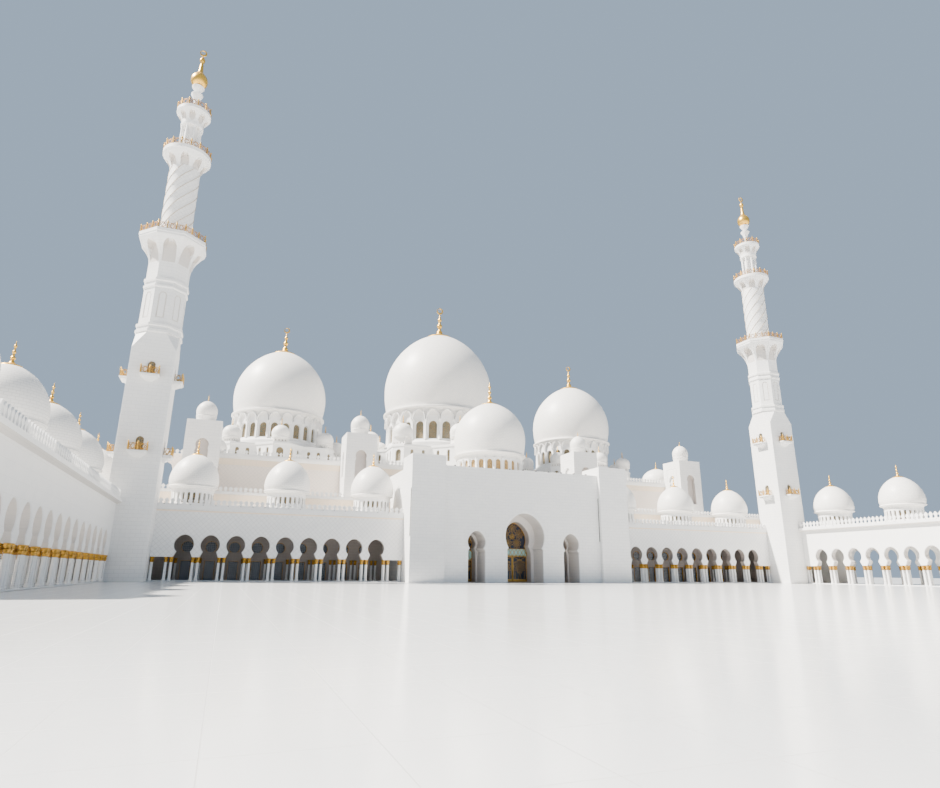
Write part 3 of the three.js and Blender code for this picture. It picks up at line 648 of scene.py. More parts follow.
def gilding(name, colour, relief, scale, rough=0.26, edge_tone=0.6):
    """Gold leaf on carved work: darker towards the edges of its carved cells, where the relief stands
    out.
    """
    made, tree, shader = new_material(name)
    shader.inputs["Metallic"].default_value = 0.85
    where = node(tree, "ShaderNodeTexCoord")
    carve = node(tree, "ShaderNodeTexVoronoi", feature="SMOOTH_F1")
    carve.inputs["Scale"].default_value = scale
    link(tree, where.outputs["Object"], carve.inputs["Vector"])
    wear = node(tree, "ShaderNodeTexNoise")
    dials(wear, {"Scale": scale * 0.6, "Detail": 4})
    link(tree, where.outputs["Object"], wear.inputs["Vector"])
    dark = tuple(c * edge_tone for c in colour[:3]) + (1,)
    link(tree, mixed(tree, carve.outputs["Distance"], colour, dark), shader.inputs["Base Color"])
    soft = math_node(tree, "MULTIPLY", wear.outputs["Fac"], 0.22)
    link(tree, math_node(tree, "ADD", soft, rough), shader.inputs["Roughness"])
    bumped(tree, shader, carve.outputs["Distance"], strength=relief, distance=0.004)
    return made


GOLD = (0.95, 0.55, 0.09, 1)
polished_gold = gilding("polished_gold", GOLD, relief=0.1, scale=9)
carved_gold = gilding("carved_gold", (0.78, 0.43, 0.07, 1), relief=1.0, scale=60, rough=0.34, edge_tone=0.15)
# Darker gold for the doors and screens: painted shade deep in the gateway
shaded_door_gold = gilding("shaded_door_gold", (0.62, 0.37, 0.09, 1), relief=0.3, scale=40, rough=0.3)
aged_bronze = gilding("aged_bronze", (0.5, 0.27, 0.1, 1), relief=0.4, scale=60, rough=0.38)

# %% Window lattice and door glass


def lattice_window(name, bar, first, second, scale, width=0.1):
    """A gilded lattice of interlaced lines over small panes of coloured glass."""
    made, tree, shader = new_material(name)
    panes = node(tree, "ShaderNodeUVMap", uv_map="courses")
    cells = node(tree, "ShaderNodeTexVoronoi", feature="DISTANCE_TO_EDGE", voronoi_dimensions="2D")
    tint = node(tree, "ShaderNodeTexVoronoi", voronoi_dimensions="2D")
    for texture in (cells, tint):
        dials(texture, {"Scale": scale, "Randomness": 0.55})
        link(tree, panes.outputs["UV"], texture.inputs["Vector"])
    bars = math_node(tree, "LESS_THAN", cells.outputs["Distance"], width)
    pick = node(tree, "ShaderNodeSeparateColor")
    link(tree, tint.outputs["Color"], pick.inputs[0])
    glass = mixed(tree, pick.outputs[0], first, second)
    link(tree, mixed(tree, bars, glass, bar), shader.inputs["Base Color"])
    duller = math_node(tree, "MULTIPLY", bars, 0.3)
    link(tree, math_node(tree, "ADD", duller, 0.15), shader.inputs["Roughness"])
    bumped(tree, shader, bars, strength=0.5, distance=0.003)
    return made


drum_lattice = lattice_window(
    "drum_lattice", (0.3, 0.21, 0.1, 1), (0.05, 0.09, 0.09, 1), (0.16, 0.11, 0.05, 1), scale=3.2
)
amber_lattice = lattice_window(
    "amber_lattice", (0.6, 0.36, 0.12, 1), (0.1, 0.1, 0.07, 1), (0.4, 0.24, 0.08, 1), scale=3.6
)
dark_lattice = lattice_window(
    "dark_lattice", (0.36, 0.38, 0.42, 1), (0.03, 0.035, 0.05, 1), (0.1, 0.13, 0.17, 1), scale=3.0
)


def plain(name, colour, rough):
    """A finish with only a little unevenness."""
    made, tree, shader = new_material(name)
    where = node(tree, "ShaderNodeTexCoord")
    cloud = node(tree, "ShaderNodeTexNoise")
    cloud.inputs["Scale"].default_value = 20.0
    link(tree, where.outputs["Object"], cloud.inputs["Vector"])
    darker = tuple(c * 0.75 for c in colour[:3]) + (1,)
    link(tree, mixed(tree, cloud.outputs["Fac"], colour, darker), shader.inputs["Base Color"])
    soft = math_node(tree, "MULTIPLY", cloud.outputs["Fac"], 0.15)
    link(tree, math_node(tree, "ADD", soft, rough), shader.inputs["Roughness"])
    return made


door_glass = plain("door_glass", (0.02, 0.026, 0.045, 1), 0.12)
turquoise = plain("turquoise_glass", (0.42, 0.7, 0.64, 1), 0.2)
# Dark finish for the gateway's strips and lamps, and painted shade in the mouths of the rain spouts
dark_fittings_and_spout_shade = plain("dark_fittings_and_spout_shade", (0.05, 0.045, 0.04, 1), 0.6)

# %% [markdown]
# ## Domes
# A dome here is an onion: it swells a little over its moulded ring and then closes like half an egg.
# Below, the line is an arc of an ellipse. Above, the arc's radius is raised to a power a little over one,
# so that the dome closes sooner. A few numbers draw the whole line, and spinning it gives the dome.
# Sculpting or a subdivided cage would do too, but the courses have to stay level, and a spun body keeps
# them so. The drum below is a thick spun wall with its windows sawn out.

# %% The lines of a dome
SHELL = 0.45
CLOSING = 1.2


def bulb_line(dome, below=8, above=26):
    """Radius and height from the ring, out to the widest place, up to the crown."""
    foot = math.acos(dome["ring"] / dome["radius"])
    drop = (dome["wide_z"] - dome["ring_z"]) / math.sin(foot)
    line = []
    for i in range(below):
        angle = -foot * (1 - i / below)
        line.append((dome["radius"] * math.cos(angle), dome["wide_z"] + drop * math.sin(angle)))
    rise = dome["crown_z"] - dome["wide_z"]
    for i in range(above):
        angle = math.pi / 2 * i / above
        reach = dome["radius"] * math.cos(angle) ** CLOSING
        line.append((reach, dome["wide_z"] + rise * math.sin(angle)))
    return line + [(0, dome["crown_z"])]


def ring_line(dome):
    """The moulded ring: a cove that swings out from the drum, a thin lip, and the bulb's foot."""
    drum, lip, low = dome["drum"], dome["lip"], dome["band_z"]
    rise = dome["ring_z"] - low
    swing = lip - 0.07 * rise - drum
    line = [(drum, low - 0.5 * rise)]
    for i in range(1, 8):
        angle = math.pi / 2 * i / 7
        line.append((drum + swing * (1 - math.cos(angle)), low - 0.4 * rise + rise * math.sin(angle)))
    foot = dome["ring"]
    return line + [
        (lip, low + 0.64 * rise), (lip, low + 0.8 * rise), (lip - 0.06 * rise, low + 0.86 * rise),
        (foot + 0.08 * rise, low + 0.9 * rise), (foot + 0.01 * rise, low + 0.96 * rise),
    ]


def bulb(dome, steps=96):
    """Ring and bulb in one closed skin, with a flat underside inside the drum."""
    outside = ring_line(dome) + bulb_line(dome)
    return turned([(dome["drum"] - SHELL, outside[0][1])] + outside, steps)


# %% The windowed drum
DRUM_WINDOWS = 24
DRUM_THICK = 0.9


def arch_line(half, foot, spring, crown, steps=7):
    """A window: straight sides and a round head that rises to the crown."""
    right = [(half, foot)]
    for i in range(steps):
        angle = math.pi / 2 * i / steps
        right.append((half * math.cos(angle), spring + (crown - spring) * math.sin(angle)))
    return right + [(0, crown)] + [(-x, z) for x, z in reversed(right)]


def splayed_cutter(outline, y0, y1, narrow, low_z, high_z):
    """A window-shaped saw that narrows towards its back."""
    cutter = plate(outline, y0, y1)
    edit(cutter)
    pick(cutter, "verts", lambda v: abs(v.co.y - y1) < MERGE)
    middle = (0, y1, (low_z + high_z) / 2)
    bpy.ops.transform.resize(value=(narrow, 1, 0.5 + narrow / 2), center_override=middle)
    finish_edit()
    return cutter


def drum_wall(dome, half, thick, steps=96):
    """The spun wall of a drum with its arched windows, and the skirt below the sills."""
    drum, foot, sill, head = dome["drum"], dome["foot_z"], dome["sill_z"], dome["head_z"]
    top = dome["band_z"] - 0.5 * (dome["ring_z"] - dome["band_z"])
    skirt = dome.get("skirt", 0.0)
    profile = [
        (drum + skirt, foot), (drum + 0.9 * skirt + 0.02, sill - 0.35 * (sill - foot)),
        (drum + 0.06, sill - 0.12), (drum, sill - 0.08), (drum, top), (drum - thick, top),
        (drum - thick, foot),
    ]
    wall = turned(profile, steps, loop=True)
    outline = arch_line(half, sill, head - half, head)
    saw = splayed_cutter(outline, -(drum + 1), -(drum - thick - 0.3), 0.7, sill, head)
    cutter = ring_of(saw, DRUM_WINDOWS, math.pi / DRUM_WINDOWS)
    return cut_away(wall, cutter)


def lattice_ring(dome, thick, steps=96):
    """The glazed lattice behind the windows: a thin ring halfway through the wall."""
    radius = dome["drum"] - 0.62 * thick
    low, high = dome["sill_z"] - 0.1, dome["head_z"] + 0.1
    profile = [(radius, low), (radius, high), (radius - 0.1, high), (radius - 0.1, low)]
    return turned(profile, steps, loop=True)


# %% Gilded caps and finials
CAP_LINE = [(0.245, -0.066), (0.252, -0.05), (0.245, -0.036), (0.19, -0.012), (0.13, 0.008),
            (0.085, 0.03), (0.062, 0.055), (0.055, 0.075), (0, 0.075)]


def gilded_cap(radius, crown_z, steps=32):
    """A gilded umbrella that lies on the top of the bulb and rises to the finial's foot."""
    return turned([(x * radius, crown_z + z * radius) for x, z in CAP_LINE], steps)


# Each list gives a ball's radius, middle and half height, then the neck over it, as shares of the height
POINT_FOOT = [(0.1, 0.0), (0.1, 0.06), (0.075, 0.12), (0.055, 0.17)]
POINT_BALLS = [(0.094, 0.272, 0.085, 0.043, 0.385), (0.069, 0.522, 0.08, 0.03, 0.65),
               (0.061, 0.772, 0.065, 0.022, 0.87)]
RING_FOOT = [(0.115, 0.0), (0.115, 0.035), (0.07, 0.05)]
RING_BALLS = [(0.098, 0.137, 0.085, 0.042, 0.262), (0.085, 0.364, 0.078, 0.036, 0.478),
              (0.061, 0.58, 0.06, 0.028, 0.67)]
RING_SHARES = (0.895, 0.105, 0.074, 0.017, 0.014)


def ring_crescent(middle_z, outer, inner, shift, half_thick):
    """A ring that grows thin towards its upper left, where it is open."""
    lean = math.radians(127)
    turns = [lean + math.radians(6 + 348 * i / 28) for i in range(29)]
    border = [(outer * math.cos(a), middle_z + outer * math.sin(a)) for a in turns]
    slide_x, slide_z = shift * math.cos(lean), middle_z + shift * math.sin(lean)
    border += [(slide_x + inner * math.cos(a), slide_z + inner * math.sin(a)) for a in reversed(turns)]
    return plate(border, -half_thick, half_thick)


def finial(height, ringed, steps=16):
    """Three balls that grow smaller, on one rod, under a point or under a ring that stands upright."""
    line = list(RING_FOOT if ringed else POINT_FOOT)
    for radius, middle, half, neck, neck_z in RING_BALLS if ringed else POINT_BALLS:
        for share in (-0.85, -0.45, 0.0, 0.45, 0.85):
            line.append((radius * math.sqrt(1 - share * share), middle + half * share))
        line.append((neck, neck_z))
    top = 0.8 if ringed else 1.0
    line += [(0.008, top - 0.01), (0, top)]
    rod = turned([(x * height, z * height) for x, z in line], steps)
    if not ringed:
        return rod
    ring = ring_crescent(*(share * height for share in RING_SHARES))
    return joined([rod, ring])


def gold_top(dome, ringed=False, steps=32):
    """The cap and the finial of a dome."""
    rod = copies(finial(dome["tip_z"] - dome["crown_z"], ringed, max(8, steps // 2)),
                 [at(0, 0, dome["crown_z"])])
    return joined([gilded_cap(dome["radius"], dome["crown_z"], steps), rod])


# %% [markdown]
# ## The three great domes and the dome over the gateway
# Each great dome stands on an eight-pointed base. Between the windows and the ring runs a row of blind
# arches in relief, one over each window. One arch is cut flat and copied round the drum: it is short
# against the drum's girth, so it need not be bent.

# %% Sizes of the great domes
HALL_MIDDLE_Y = 59.9
SIDE_DOME = {
    "radius": 12.27, "wide_z": 47.6, "crown_z": 61.7, "tip_z": 69.4, "ring": 11.6, "ring_z": 42.6,
    "band_z": 41.0, "lip": 12.3, "drum": 11.3, "sill_z": 34.85, "head_z": 39.1, "foot_z": 32.503,
    "skirt": 0.9, "star_z": 32.5, "star_tip": 18.1, "star_half": 1.7, "small_reach": 16.3,
    "small_radius": 2.25, "small_crown_z": 37.0,
}
CENTRE_DOME = {
    "radius": 16.3, "wide_z": 54.4, "crown_z": 73.4, "tip_z": 83.2, "ring": 15.35, "ring_z": 47.3,
    "band_z": 45.2, "lip": 16.3, "drum": 14.9, "sill_z": 37.4, "head_z": 43.0, "foot_z": 34.703,
    "skirt": 1.1, "star_z": 34.7, "star_tip": 22.4, "star_half": 1.75, "small_reach": 20.3,
    "small_radius": 2.7, "small_crown_z": 40.9,
}
ENTRANCE_DOME = {
    "radius": 8.42, "wide_z": 32.2, "crown_z": 41.2, "tip_z": 46.6, "ring": 8.0, "ring_z": 28.3,
    "band_z": 27.3, "lip": 8.45, "drum": 7.65, "sill_z": 23.9, "head_z": 26.6, "foot_z": 21.303,
}
GREAT_DOMES = [("left", SIDE_DOME, -46.2), ("centre", CENTRE_DOME, 0.0), ("right", SIDE_DOME, 46.2)]


def blind_arch(dome):
    """One arch in relief over a window, its crown under the lip, reaching almost to its neighbours."""
    pitch = math.pi * dome["drum"] / DRUM_WINDOWS
    rise = dome["ring_z"] - dome["band_z"]
    foot, spring, crown = dome["head_z"] + 0.1, dome["head_z"] + 0.3, dome["band_z"] + 0.4 * rise
    outer = arch_line(0.97 * pitch, foot, spring, crown, 8)
    inner = arch_line(0.86 * pitch, foot, spring, crown - 0.13 * pitch, 8)
    proud = 0.62 * (dome["lip"] - dome["drum"])
    arch = plate(outer + inner[::-1], -dome["drum"] - proud, -dome["drum"] + 0.2)
    return ring_of(arch, DRUM_WINDOWS, math.pi / DRUM_WINDOWS)


def pier_shafts(dome, radius):
    """A slim shaft in front of every pier of the drum, with a base and a spreading capital."""
    sill, top = dome["sill_z"] - 0.1, dome["head_z"] + 0.12
    line = [
        (0, sill), (1.35, sill), (1.35, sill + 0.5 * radius), (1, sill + radius),
        (0.92, top - 2.4 * radius), (1.1, top - 2.2 * radius), (1.0, top - 2 * radius),
        (1.6, top - 0.4 * radius), (1.6, top), (0, top),
    ]
    shaft = turned([(share * radius, z) for share, z in line], 10)
    shaft.data.transform(at(0, -dome["drum"] - 0.1 * radius))
    return ring_of(shaft, DRUM_WINDOWS)


# %% Build the great domes
for name, dome, x in GREAT_DOMES:
    place = at(x, HALL_MIDDLE_Y)
    half = 0.098 * dome["drum"]
    top = bulb(dome)
    walls = drum_wall(dome, half, DRUM_THICK)
    glass = lattice_ring(dome, DRUM_THICK)
    relief = joined([blind_arch(dome), pier_shafts(dome, 0.022 * dome["drum"])])
    gold = gold_top(dome, ringed=True)
    for piece in (top, walls, glass, relief, gold):
        piece.data.transform(place)
    settle(top, name + "_great_bulb", dome_marble, replaces=[name + "_great_dome"])
    settle(walls, name + "_great_drum", smooth_marble, replaces=[name + "_great_dome"], sharp=30)
    settle(glass, name + "_drum_lattice", drum_lattice, "lattice_glass")
    settle(relief, name + "_blind_arches", smooth_marble)
    settle(gold, name + "_great_finial", polished_gold, "gilding")

ENTRANCE_Y = 18.65
top = bulb(ENTRANCE_DOME)
walls = drum_wall(ENTRANCE_DOME, 0.72, 0.6)
glass = lattice_ring(ENTRANCE_DOME, 0.6)
gold = gold_top(ENTRANCE_DOME)
shafts = pier_shafts(ENTRANCE_DOME, 0.24)
for piece in (top, walls, glass, gold, shafts):
    piece.data.transform(at(0, ENTRANCE_Y))
settle(top, "entrance_bulb", dome_marble, replaces=["entrance_dome"])
settle(walls, "entrance_drum", smooth_marble, replaces=["entrance_dome"], sharp=30)
settle(shafts, "entrance_drum_shafts", smooth_marble)
settle(glass, "entrance_drum_lattice", amber_lattice, "lattice_glass")
settle(gold, "entrance_finial", polished_gold, "gilding")
print("great domes made:", piece_count)

# %% [markdown]
# ## Star-shaped bases with small domes
# From above each base is two squares turned through each other, drawn out to eight blunt points. The
# outline is drawn flat and pushed up, and its windows are shallow niches sawn into the faces, each with
# a lattice plate in its depth. A small dome on a square block stands on every point.

# %% One base
ROOF_TOP = 26.703
NICHE_DEPTH = 0.5


def star_outline(dome, grow=0.0):
    """The border of a base, from above."""
    corner = math.tan(math.pi / 8)
    tip, half = dome["star_tip"] + grow, dome["star_half"] + grow * corner
    slide = (corner * tip - half) / (1 + corner)
    border = []
    for i in range(8):
        angle = math.pi / 4 * i
        for out, across in ((tip, -half), (tip, half), (tip - slide, half + slide)):
            border.append((
                out * math.cos(angle) - across * math.sin(angle),
                out * math.sin(angle) + across * math.cos(angle),
            ))
    return border


def star_windows(dome):
    """Where the windows stand: half width, place and turn of each, for one point of the star."""
    corner = math.tan(math.pi / 8)
    tip, half = dome["star_tip"], dome["star_half"]
    slide = (corner * tip - half) / (1 + corner)
    spots = [(0.85, tip, 0.0, 0.0)]
    for side in (-1, 1):
        for share in (0.3, 0.72):
            spots.append((0.42, tip - share * slide, side * (half + share * slide), side * math.pi / 4))
    return spots


def star_base(dome):
    base = prism(star_outline(dome), ROOF_TOP, dome["star_z"])
    cornice = prism(star_outline(dome, 0.18), dome["star_z"] - 0.55, dome["star_z"] - 0.15)
    cutters = []
    panes = []
    for half, out, across, turn in star_windows(dome):
        head = dome["star_z"] - 1.3
        outline = arch_line(half, head - 3.2, head - half, head, 6)
        upright = Matrix.Translation((out, across, 0)) @ Matrix.Rotation(turn + math.pi / 2, 4, "Z")
        cutters.append(copies(plate(outline, -1, NICHE_DEPTH), [upright]))
        panes.append(copies(plate(outline, NICHE_DEPTH - 0.12, NICHE_DEPTH - 0.01), [upright]))
    base = cut_away(base, ring_of(joined(cutters), 8))
    return joined([base, cornice]), ring_of(joined(panes), 8)


# %% A small dome on its block
def small_dome(dome):
    """Block, drum ring, bulb and finial of one point, standing at the origin."""
    r, foot, crown = dome["small_radius"], dome["star_z"], dome["small_crown_z"]
    half = 0.72 * r
    box = block(-half, half, -half, half, foot - 0.05, crown - 1.55 * r, bevel=0.04)
    holes = []
    for i in range(4):
        z0 = foot + 0.2
        slot = arch_line(0.16, z0, z0 + 0.28, z0 + 0.46, 4)
        for j in range(2):
            side = at(0, 0, angle=math.pi / 2 * j)
            spot = side @ Matrix.Translation(((i - 1.5) * half * 0.5, 0, 0))
            holes.append(copies(plate(slot, -half - 0.5, half + 0.5), [spot]))
    box = cut_away(box, joined(holes), crossing=True)
    line = [(0, crown - 1.6 * r), (0.9 * r, crown - 1.6 * r), (0.98 * r, crown - 1.5 * r),
            (0.98 * r, crown - 1.4 * r), (0.92 * r, crown - 1.36 * r)]
    for i in range(4):
        line.append((r * (0.93 + 0.07 * math.sin(math.pi / 8 * i)), crown - (1.32 - 0.1 * i) * r))
    for i in range(12):
        angle = math.pi / 2 * i / 12
        line.append((r * math.cos(angle), crown - 0.95 * r + 0.95 * r * math.sin(angle)))
    bowl = turned(line + [(0, crown)], 32)
    # A taupe block inside, painted shade seen through the slots of the box
    core = block(-half + 0.35, half - 0.35, -half + 0.35, half - 0.35, foot - 0.05, foot + 0.9)
    rod = copies(finial(0.85 * r, False, 8), [at(0, 0, crown)])
    gold = joined([gilded_cap(r, crown - 0.02, 12), rod])
    return joined([box, bowl]), core, gold


# %% Set the bases and their small domes
for name, dome, x in GREAT_DOMES:
    place = at(x, HALL_MIDDLE_Y)
    base, panes = star_base(dome)
    blocks, cores, tips = small_dome(dome)
    spots = [place @ at(0, 0, angle=math.pi / 4 * i) @ at(dome["small_reach"], 0) for i in range(8)]
    for piece in (base, panes):
        piece.data.transform(place)
    settle(base, name + "_star_base", smooth_marble, replaces=[name + "_dome_base"])
    settle(panes, name + "_star_panes", drum_lattice, "lattice_glass")
    settle(copies(blocks, spots), name + "_small_domes", dome_marble, replaces=[name + "_dome_base"])
    settle(copies(cores, spots), name + "_small_shade", shade_taupe_marble)
    settle(copies(tips, spots), name + "_small_finials", polished_gold, "gilding")
print("star bases made:", piece_count)

# %% [markdown]
# ## Gallery domes
# Sixteen domes stand on the roofs of the arcades and wings. They are all alike, so one is made with
# care, its drum opened by twenty-four narrow arches between slim piers, and the rest are copies.

# %% One gallery dome and its copies
BAY = 4.179
ARCADE_FIRST_X = 29.36
WING_FIRST_Y = -5.7
WING_INNER_X = 73.2
ARCADE_FRONT_Y = 4.31
ROOF_Z = 12.75
GALLERY_DOME = {
    "radius": 4.3, "wide_z": 17.6, "crown_z": 22.8, "tip_z": 25.5, "ring": 4.1, "ring_z": 16.7,
    "band_z": 16.05, "lip": 4.3, "drum": 3.6, "sill_z": 13.35, "head_z": 15.45, "foot_z": 12.55,
}
gallery_spots = []
for i in range(4):
    gallery_spots.append((ARCADE_FIRST_X + 4 * BAY * i, ARCADE_FRONT_Y + 6.25))
    gallery_spots.append((WING_INNER_X + 6.25, WING_FIRST_Y - 4 * BAY * i))
gallery_places = [at(side * x, y) for x, y in gallery_spots for side in (-1, 1)]
top = bulb(GALLERY_DOME, 48)
walls = drum_wall(GALLERY_DOME, 0.27, 0.45, 48)
glass = lattice_ring(GALLERY_DOME, 0.7, 24)
gold = gold_top(GALLERY_DOME)
settle(copies(top, gallery_places), "gallery_bulbs", dome_marble,
       replaces=sides("arcade_roof") + sides("wing_roof"))
settle(copies(walls, gallery_places), "gallery_drums", smooth_marble,
       replaces=sides("arcade_roof") + sides("wing_roof"))
settle(copies(glass, gallery_places), "gallery_lattice", drum_lattice, "lattice_glass")
settle(copies(gold, gallery_places), "gallery_finials", polished_gold, "gilding")
print("gallery domes:", len(gallery_places))

# %% [markdown]
# ## The gateway
# The gateway is a plain cliff of marble with three horseshoe arches. A horseshoe arch has straight legs,
# a narrow neck, and a round head a little wider than the neck that ends in a slight point. The line is
# worked out once, pushed into a saw and cut from the wall, and the sharp edge it leaves is bevelled,
# because marble edges are always eased.

# %% The horseshoe line
OUTER_CENTRE = {"leg": 3.94, "leg_top": 6.4, "neck": 3.6, "radius": 4.3, "middle": 8.9, "crown": 13.5}
INNER_CENTRE = {"leg": 3.35, "leg_top": 5.85, "neck": 2.78, "radius": 3.05, "middle": 8.5, "crown": 12.1}
OUTER_SIDE = {"leg": 1.77, "leg_top": 5.9, "neck": 1.42, "radius": 1.85, "middle": 7.6, "crown": 9.72}
INNER_SIDE = {"leg": 1.45, "leg_top": 5.8, "neck": 1.12, "radius": 1.42, "middle": 7.4, "crown": 9.25}
GALLERY_ARCH = {"leg": 1.5, "leg_top": 4.0, "neck": 1.07, "radius": 1.57, "middle": 6.05, "crown": 7.75}
SIDE_ARCH_X = 10.46


def horseshoe(arch, centre, foot, grow=0.0, steps=20):
    """The arch's line from the right foot over the crown to the left foot."""
    radius = arch["radius"] + grow
    start = -math.acos((arch["neck"] + grow) / radius)
    lift = arch["crown"] - arch["middle"] - arch["radius"]
    half = [(arch["leg"] + grow, foot), (arch["leg"] + grow, arch["leg_top"])]
    for i in range(steps):
        angle = start + (math.pi / 2 - start) * i / steps
        point = max(0, math.sin(angle)) ** 4 * lift
        half.append((radius * math.cos(angle), arch["middle"] + radius * math.sin(angle) + point))
    crown = [(centre, arch["crown"] + grow)]
    right = [(centre + x, z) for x, z in half]
    left = [(centre - x, z) for x, z in reversed(half)]
    return right + crown + left


def ease_arches(wall, y_face, x_span, z_span, offset, segments):
    """Bevels the arch edges on one face of a wall and leaves its outer border sharp."""
    edit(wall)

    def on_arch(edge):
        a, b = (v.co for v in edge.verts)
        if max(abs(a.y - y_face), abs(b.y - y_face)) > 0.001:
            return False
        if min(a.x, b.x) < x_span[0] + 0.01 or max(a.x, b.x) > x_span[1] - 0.01:
            return False
        return z_span[0] + 0.01 < max(a.z, b.z) < z_span[1] - 0.01

    pick(wall, "edges", on_arch)
    bpy.ops.mesh.bevel(offset=offset, segments=segments, affect="EDGES")
    finish_edit()
    face_uv(wall)


def arch_groove(arch, centre, y_face, near, far, depth):
    """A saw for the thin line cut round the head of an arch."""
    outer = horseshoe(arch, centre, 0, far)[4:-4]
    inner = horseshoe(arch, centre, 0, near)[4:-4]
    return plate(outer + inner[::-1], y_face - 0.3, y_face + depth)


# %% Gateway walls
PORTAL_HALF = 17.347
SCREEN_Y = 6.4


def gate_wall(y0, y1, top, centre_arch, side_arch, ease):
    wall = block(-PORTAL_HALF, PORTAL_HALF, y0, y1, 0, top)
    saws = [plate(horseshoe(centre_arch, 0, -1), y0 - 1, y1 + 1)]
    for side in (-1, 1):
        saws.append(plate(horseshoe(side_arch, side * SIDE_ARCH_X, -1), y0 - 1, y1 + 1))
    cut_away(wall, joined(saws))
    ease_arches(wall, y0, (-PORTAL_HALF, PORTAL_HALF), (0, top), ease, 2)
    return wall


front = gate_wall(0.0, 4.4, 22.2, OUTER_CENTRE, OUTER_SIDE, 0.16)
grooves = [arch_groove(OUTER_CENTRE, 0, 0, 0.62, 0.68, 0.05)]
IMPOST_LINE = [(4.3, 6.5), (5.5, 6.5), (5.5, 6.58), (4.3, 6.58)]
for side in (-1, 1):
    grooves.append(arch_groove(OUTER_SIDE, side * SIDE_ARCH_X, 0, 0.34, 0.38, 0.04))
    grooves.append(plate([(side * x, z) for x, z in IMPOST_LINE], -0.3, 0.05))
front = cut_away(front, joined(grooves))
settle(front, "gateway_front", block_marble, replaces=["portal_front_wall"], sharp=25)
# The inner wall, seen through the outer arches, is in darker pale stone: painted shade behind the front.
back = gate_wall(4.403, 7.2, 20.597, INNER_CENTRE, INNER_SIDE, 0.12)
sills = [block(-3.9, 3.9, 4.45, 7.15, 0, 0.05)]
sills += [block(s * SIDE_ARCH_X - 2, s * SIDE_ARCH_X + 2, 4.45, 7.15, 0, 0.05) for s in (-1, 1)]
settle(joined([back] + sills), "gateway_inner_wall", shade_pale_marble,
       replaces=["portal_inner_wall"], sharp=25)

# %% Painted shade inside the arches
LINING = 0.02


def arch_shade_lining(arch, centre, foot, y0, y1, steps=20):
    """A thin skin of darker stone on the inside of an arch: painted shade."""
    outer = horseshoe(arch, centre, foot, -0.004, steps)
    inner = horseshoe(arch, centre, foot, -LINING, steps)
    return plate(outer + inner[::-1], y0, y1)


# Painted shade in the arches: pale stone in the outer arches, darker grey at the doors
linings = [arch_shade_lining(OUTER_CENTRE, 0, 0.004, 0.2, 4.39)]
inner_linings = [arch_shade_lining(INNER_CENTRE, 0, 0.06, 4.55, 6.26)]
for side in (-1, 1):
    centre = side * SIDE_ARCH_X
    linings.append(arch_shade_lining(OUTER_SIDE, centre, 0.004, 0.2, 4.39))
    inner_linings.append(arch_shade_lining(INNER_SIDE, centre, 0.06, 4.55, 6.26))
settle(joined(linings), "gateway_arch_shade", shade_pale_marble, sharp=25)
settle(joined(inner_linings), "doorway_arch_shade", shade_grey_marble, sharp=25)

# %% Slim strips beside the gateway and lamps on its edge
strips = []
for side in (-1, 1):
    for x, y in ((17.3, -0.05), (24.25, -0.7)):
        strips.append(block(side * x - 0.05, side * x + 0.05, y - 0.05, y + 0.05, 8.3, 17.3, bevel=0.01))
lamps = [block(x - 0.14, x + 0.14, 0.5, 0.9, 22.2, 22.5, bevel=0.04) for x in range(-15, 17, 3)]
settle(joined(strips + lamps), "gateway_fittings", dark_fittings_and_spout_shade, "lattice_glass")

# %% [markdown]
# ## Lattice and screens
# The lattice is a net of flowers with ten petals. Each petal is a kite of four bars, a small flower sits
# in the middle of the arch and five larger ones stand round it. Drawn bar by bar it would be a day's
# work, so one eased bar is made and copied along every line of the net, and the bars that fall outside
# the arch are left out.

# %% The lines of the net


def polar(cx, cz, radius, angle):
    return cx + radius * math.cos(angle), cz + radius * math.sin(angle)


def flower(cx, cz, reach, phase=0.0, count=10):
    """Slender kites round a point with their tips outwards, as pairs of points in x and z."""
    lines = []
    step = 2 * math.pi / count
    for i in range(count):
        aim = math.pi / 2 + phase + step * i
        foot, tip = polar(cx, cz, 0.36 * reach, aim), polar(cx, cz, reach, aim)
        lines.append((polar(cx, cz, 0.1 * reach, aim), foot))
        for side in (-1, 1):
            edge = polar(cx, cz, 0.72 * reach, aim + side * 0.37 * step)
            lines += [(foot, edge), (edge, tip)]
    return lines


def fine(lines, parts=3):
    """Each line in short parts, so that it can end close to a border."""
    cut = []
    for (ax, az), (bx, bz) in lines:
        for i in range(parts):
            s, t = i / parts, (i + 1) / parts
            start = (ax + s * (bx - ax), az + s * (bz - az))
            cut.append((start, (ax + t * (bx - ax), az + t * (bz - az))))
    return cut


def head_net(centre, middle, reach):
    """The net over a door: a small flower in the middle and five larger ones round it."""
    lines = flower(centre, middle, 0.56 * reach)
    for i in range(5):
        cx, cz = polar(centre, middle, 1.42 * reach, 2 * math.pi / 5 * i + math.pi / 2)
        lines += fine(flower(cx, cz, 0.86 * reach), 2)
    return lines


def inside(outline, x, z):
    """Whether a point is inside a border, by counting the sides above it."""
    hit = False
    for (x0, z0), (x1, z1) in zip(outline, outline[1:] + outline[:1]):
        if (z0 > z) != (z1 > z) and x < (x1 - x0) * (z - z0) / (z1 - z0) + x0:
            hit = not hit
    return hit


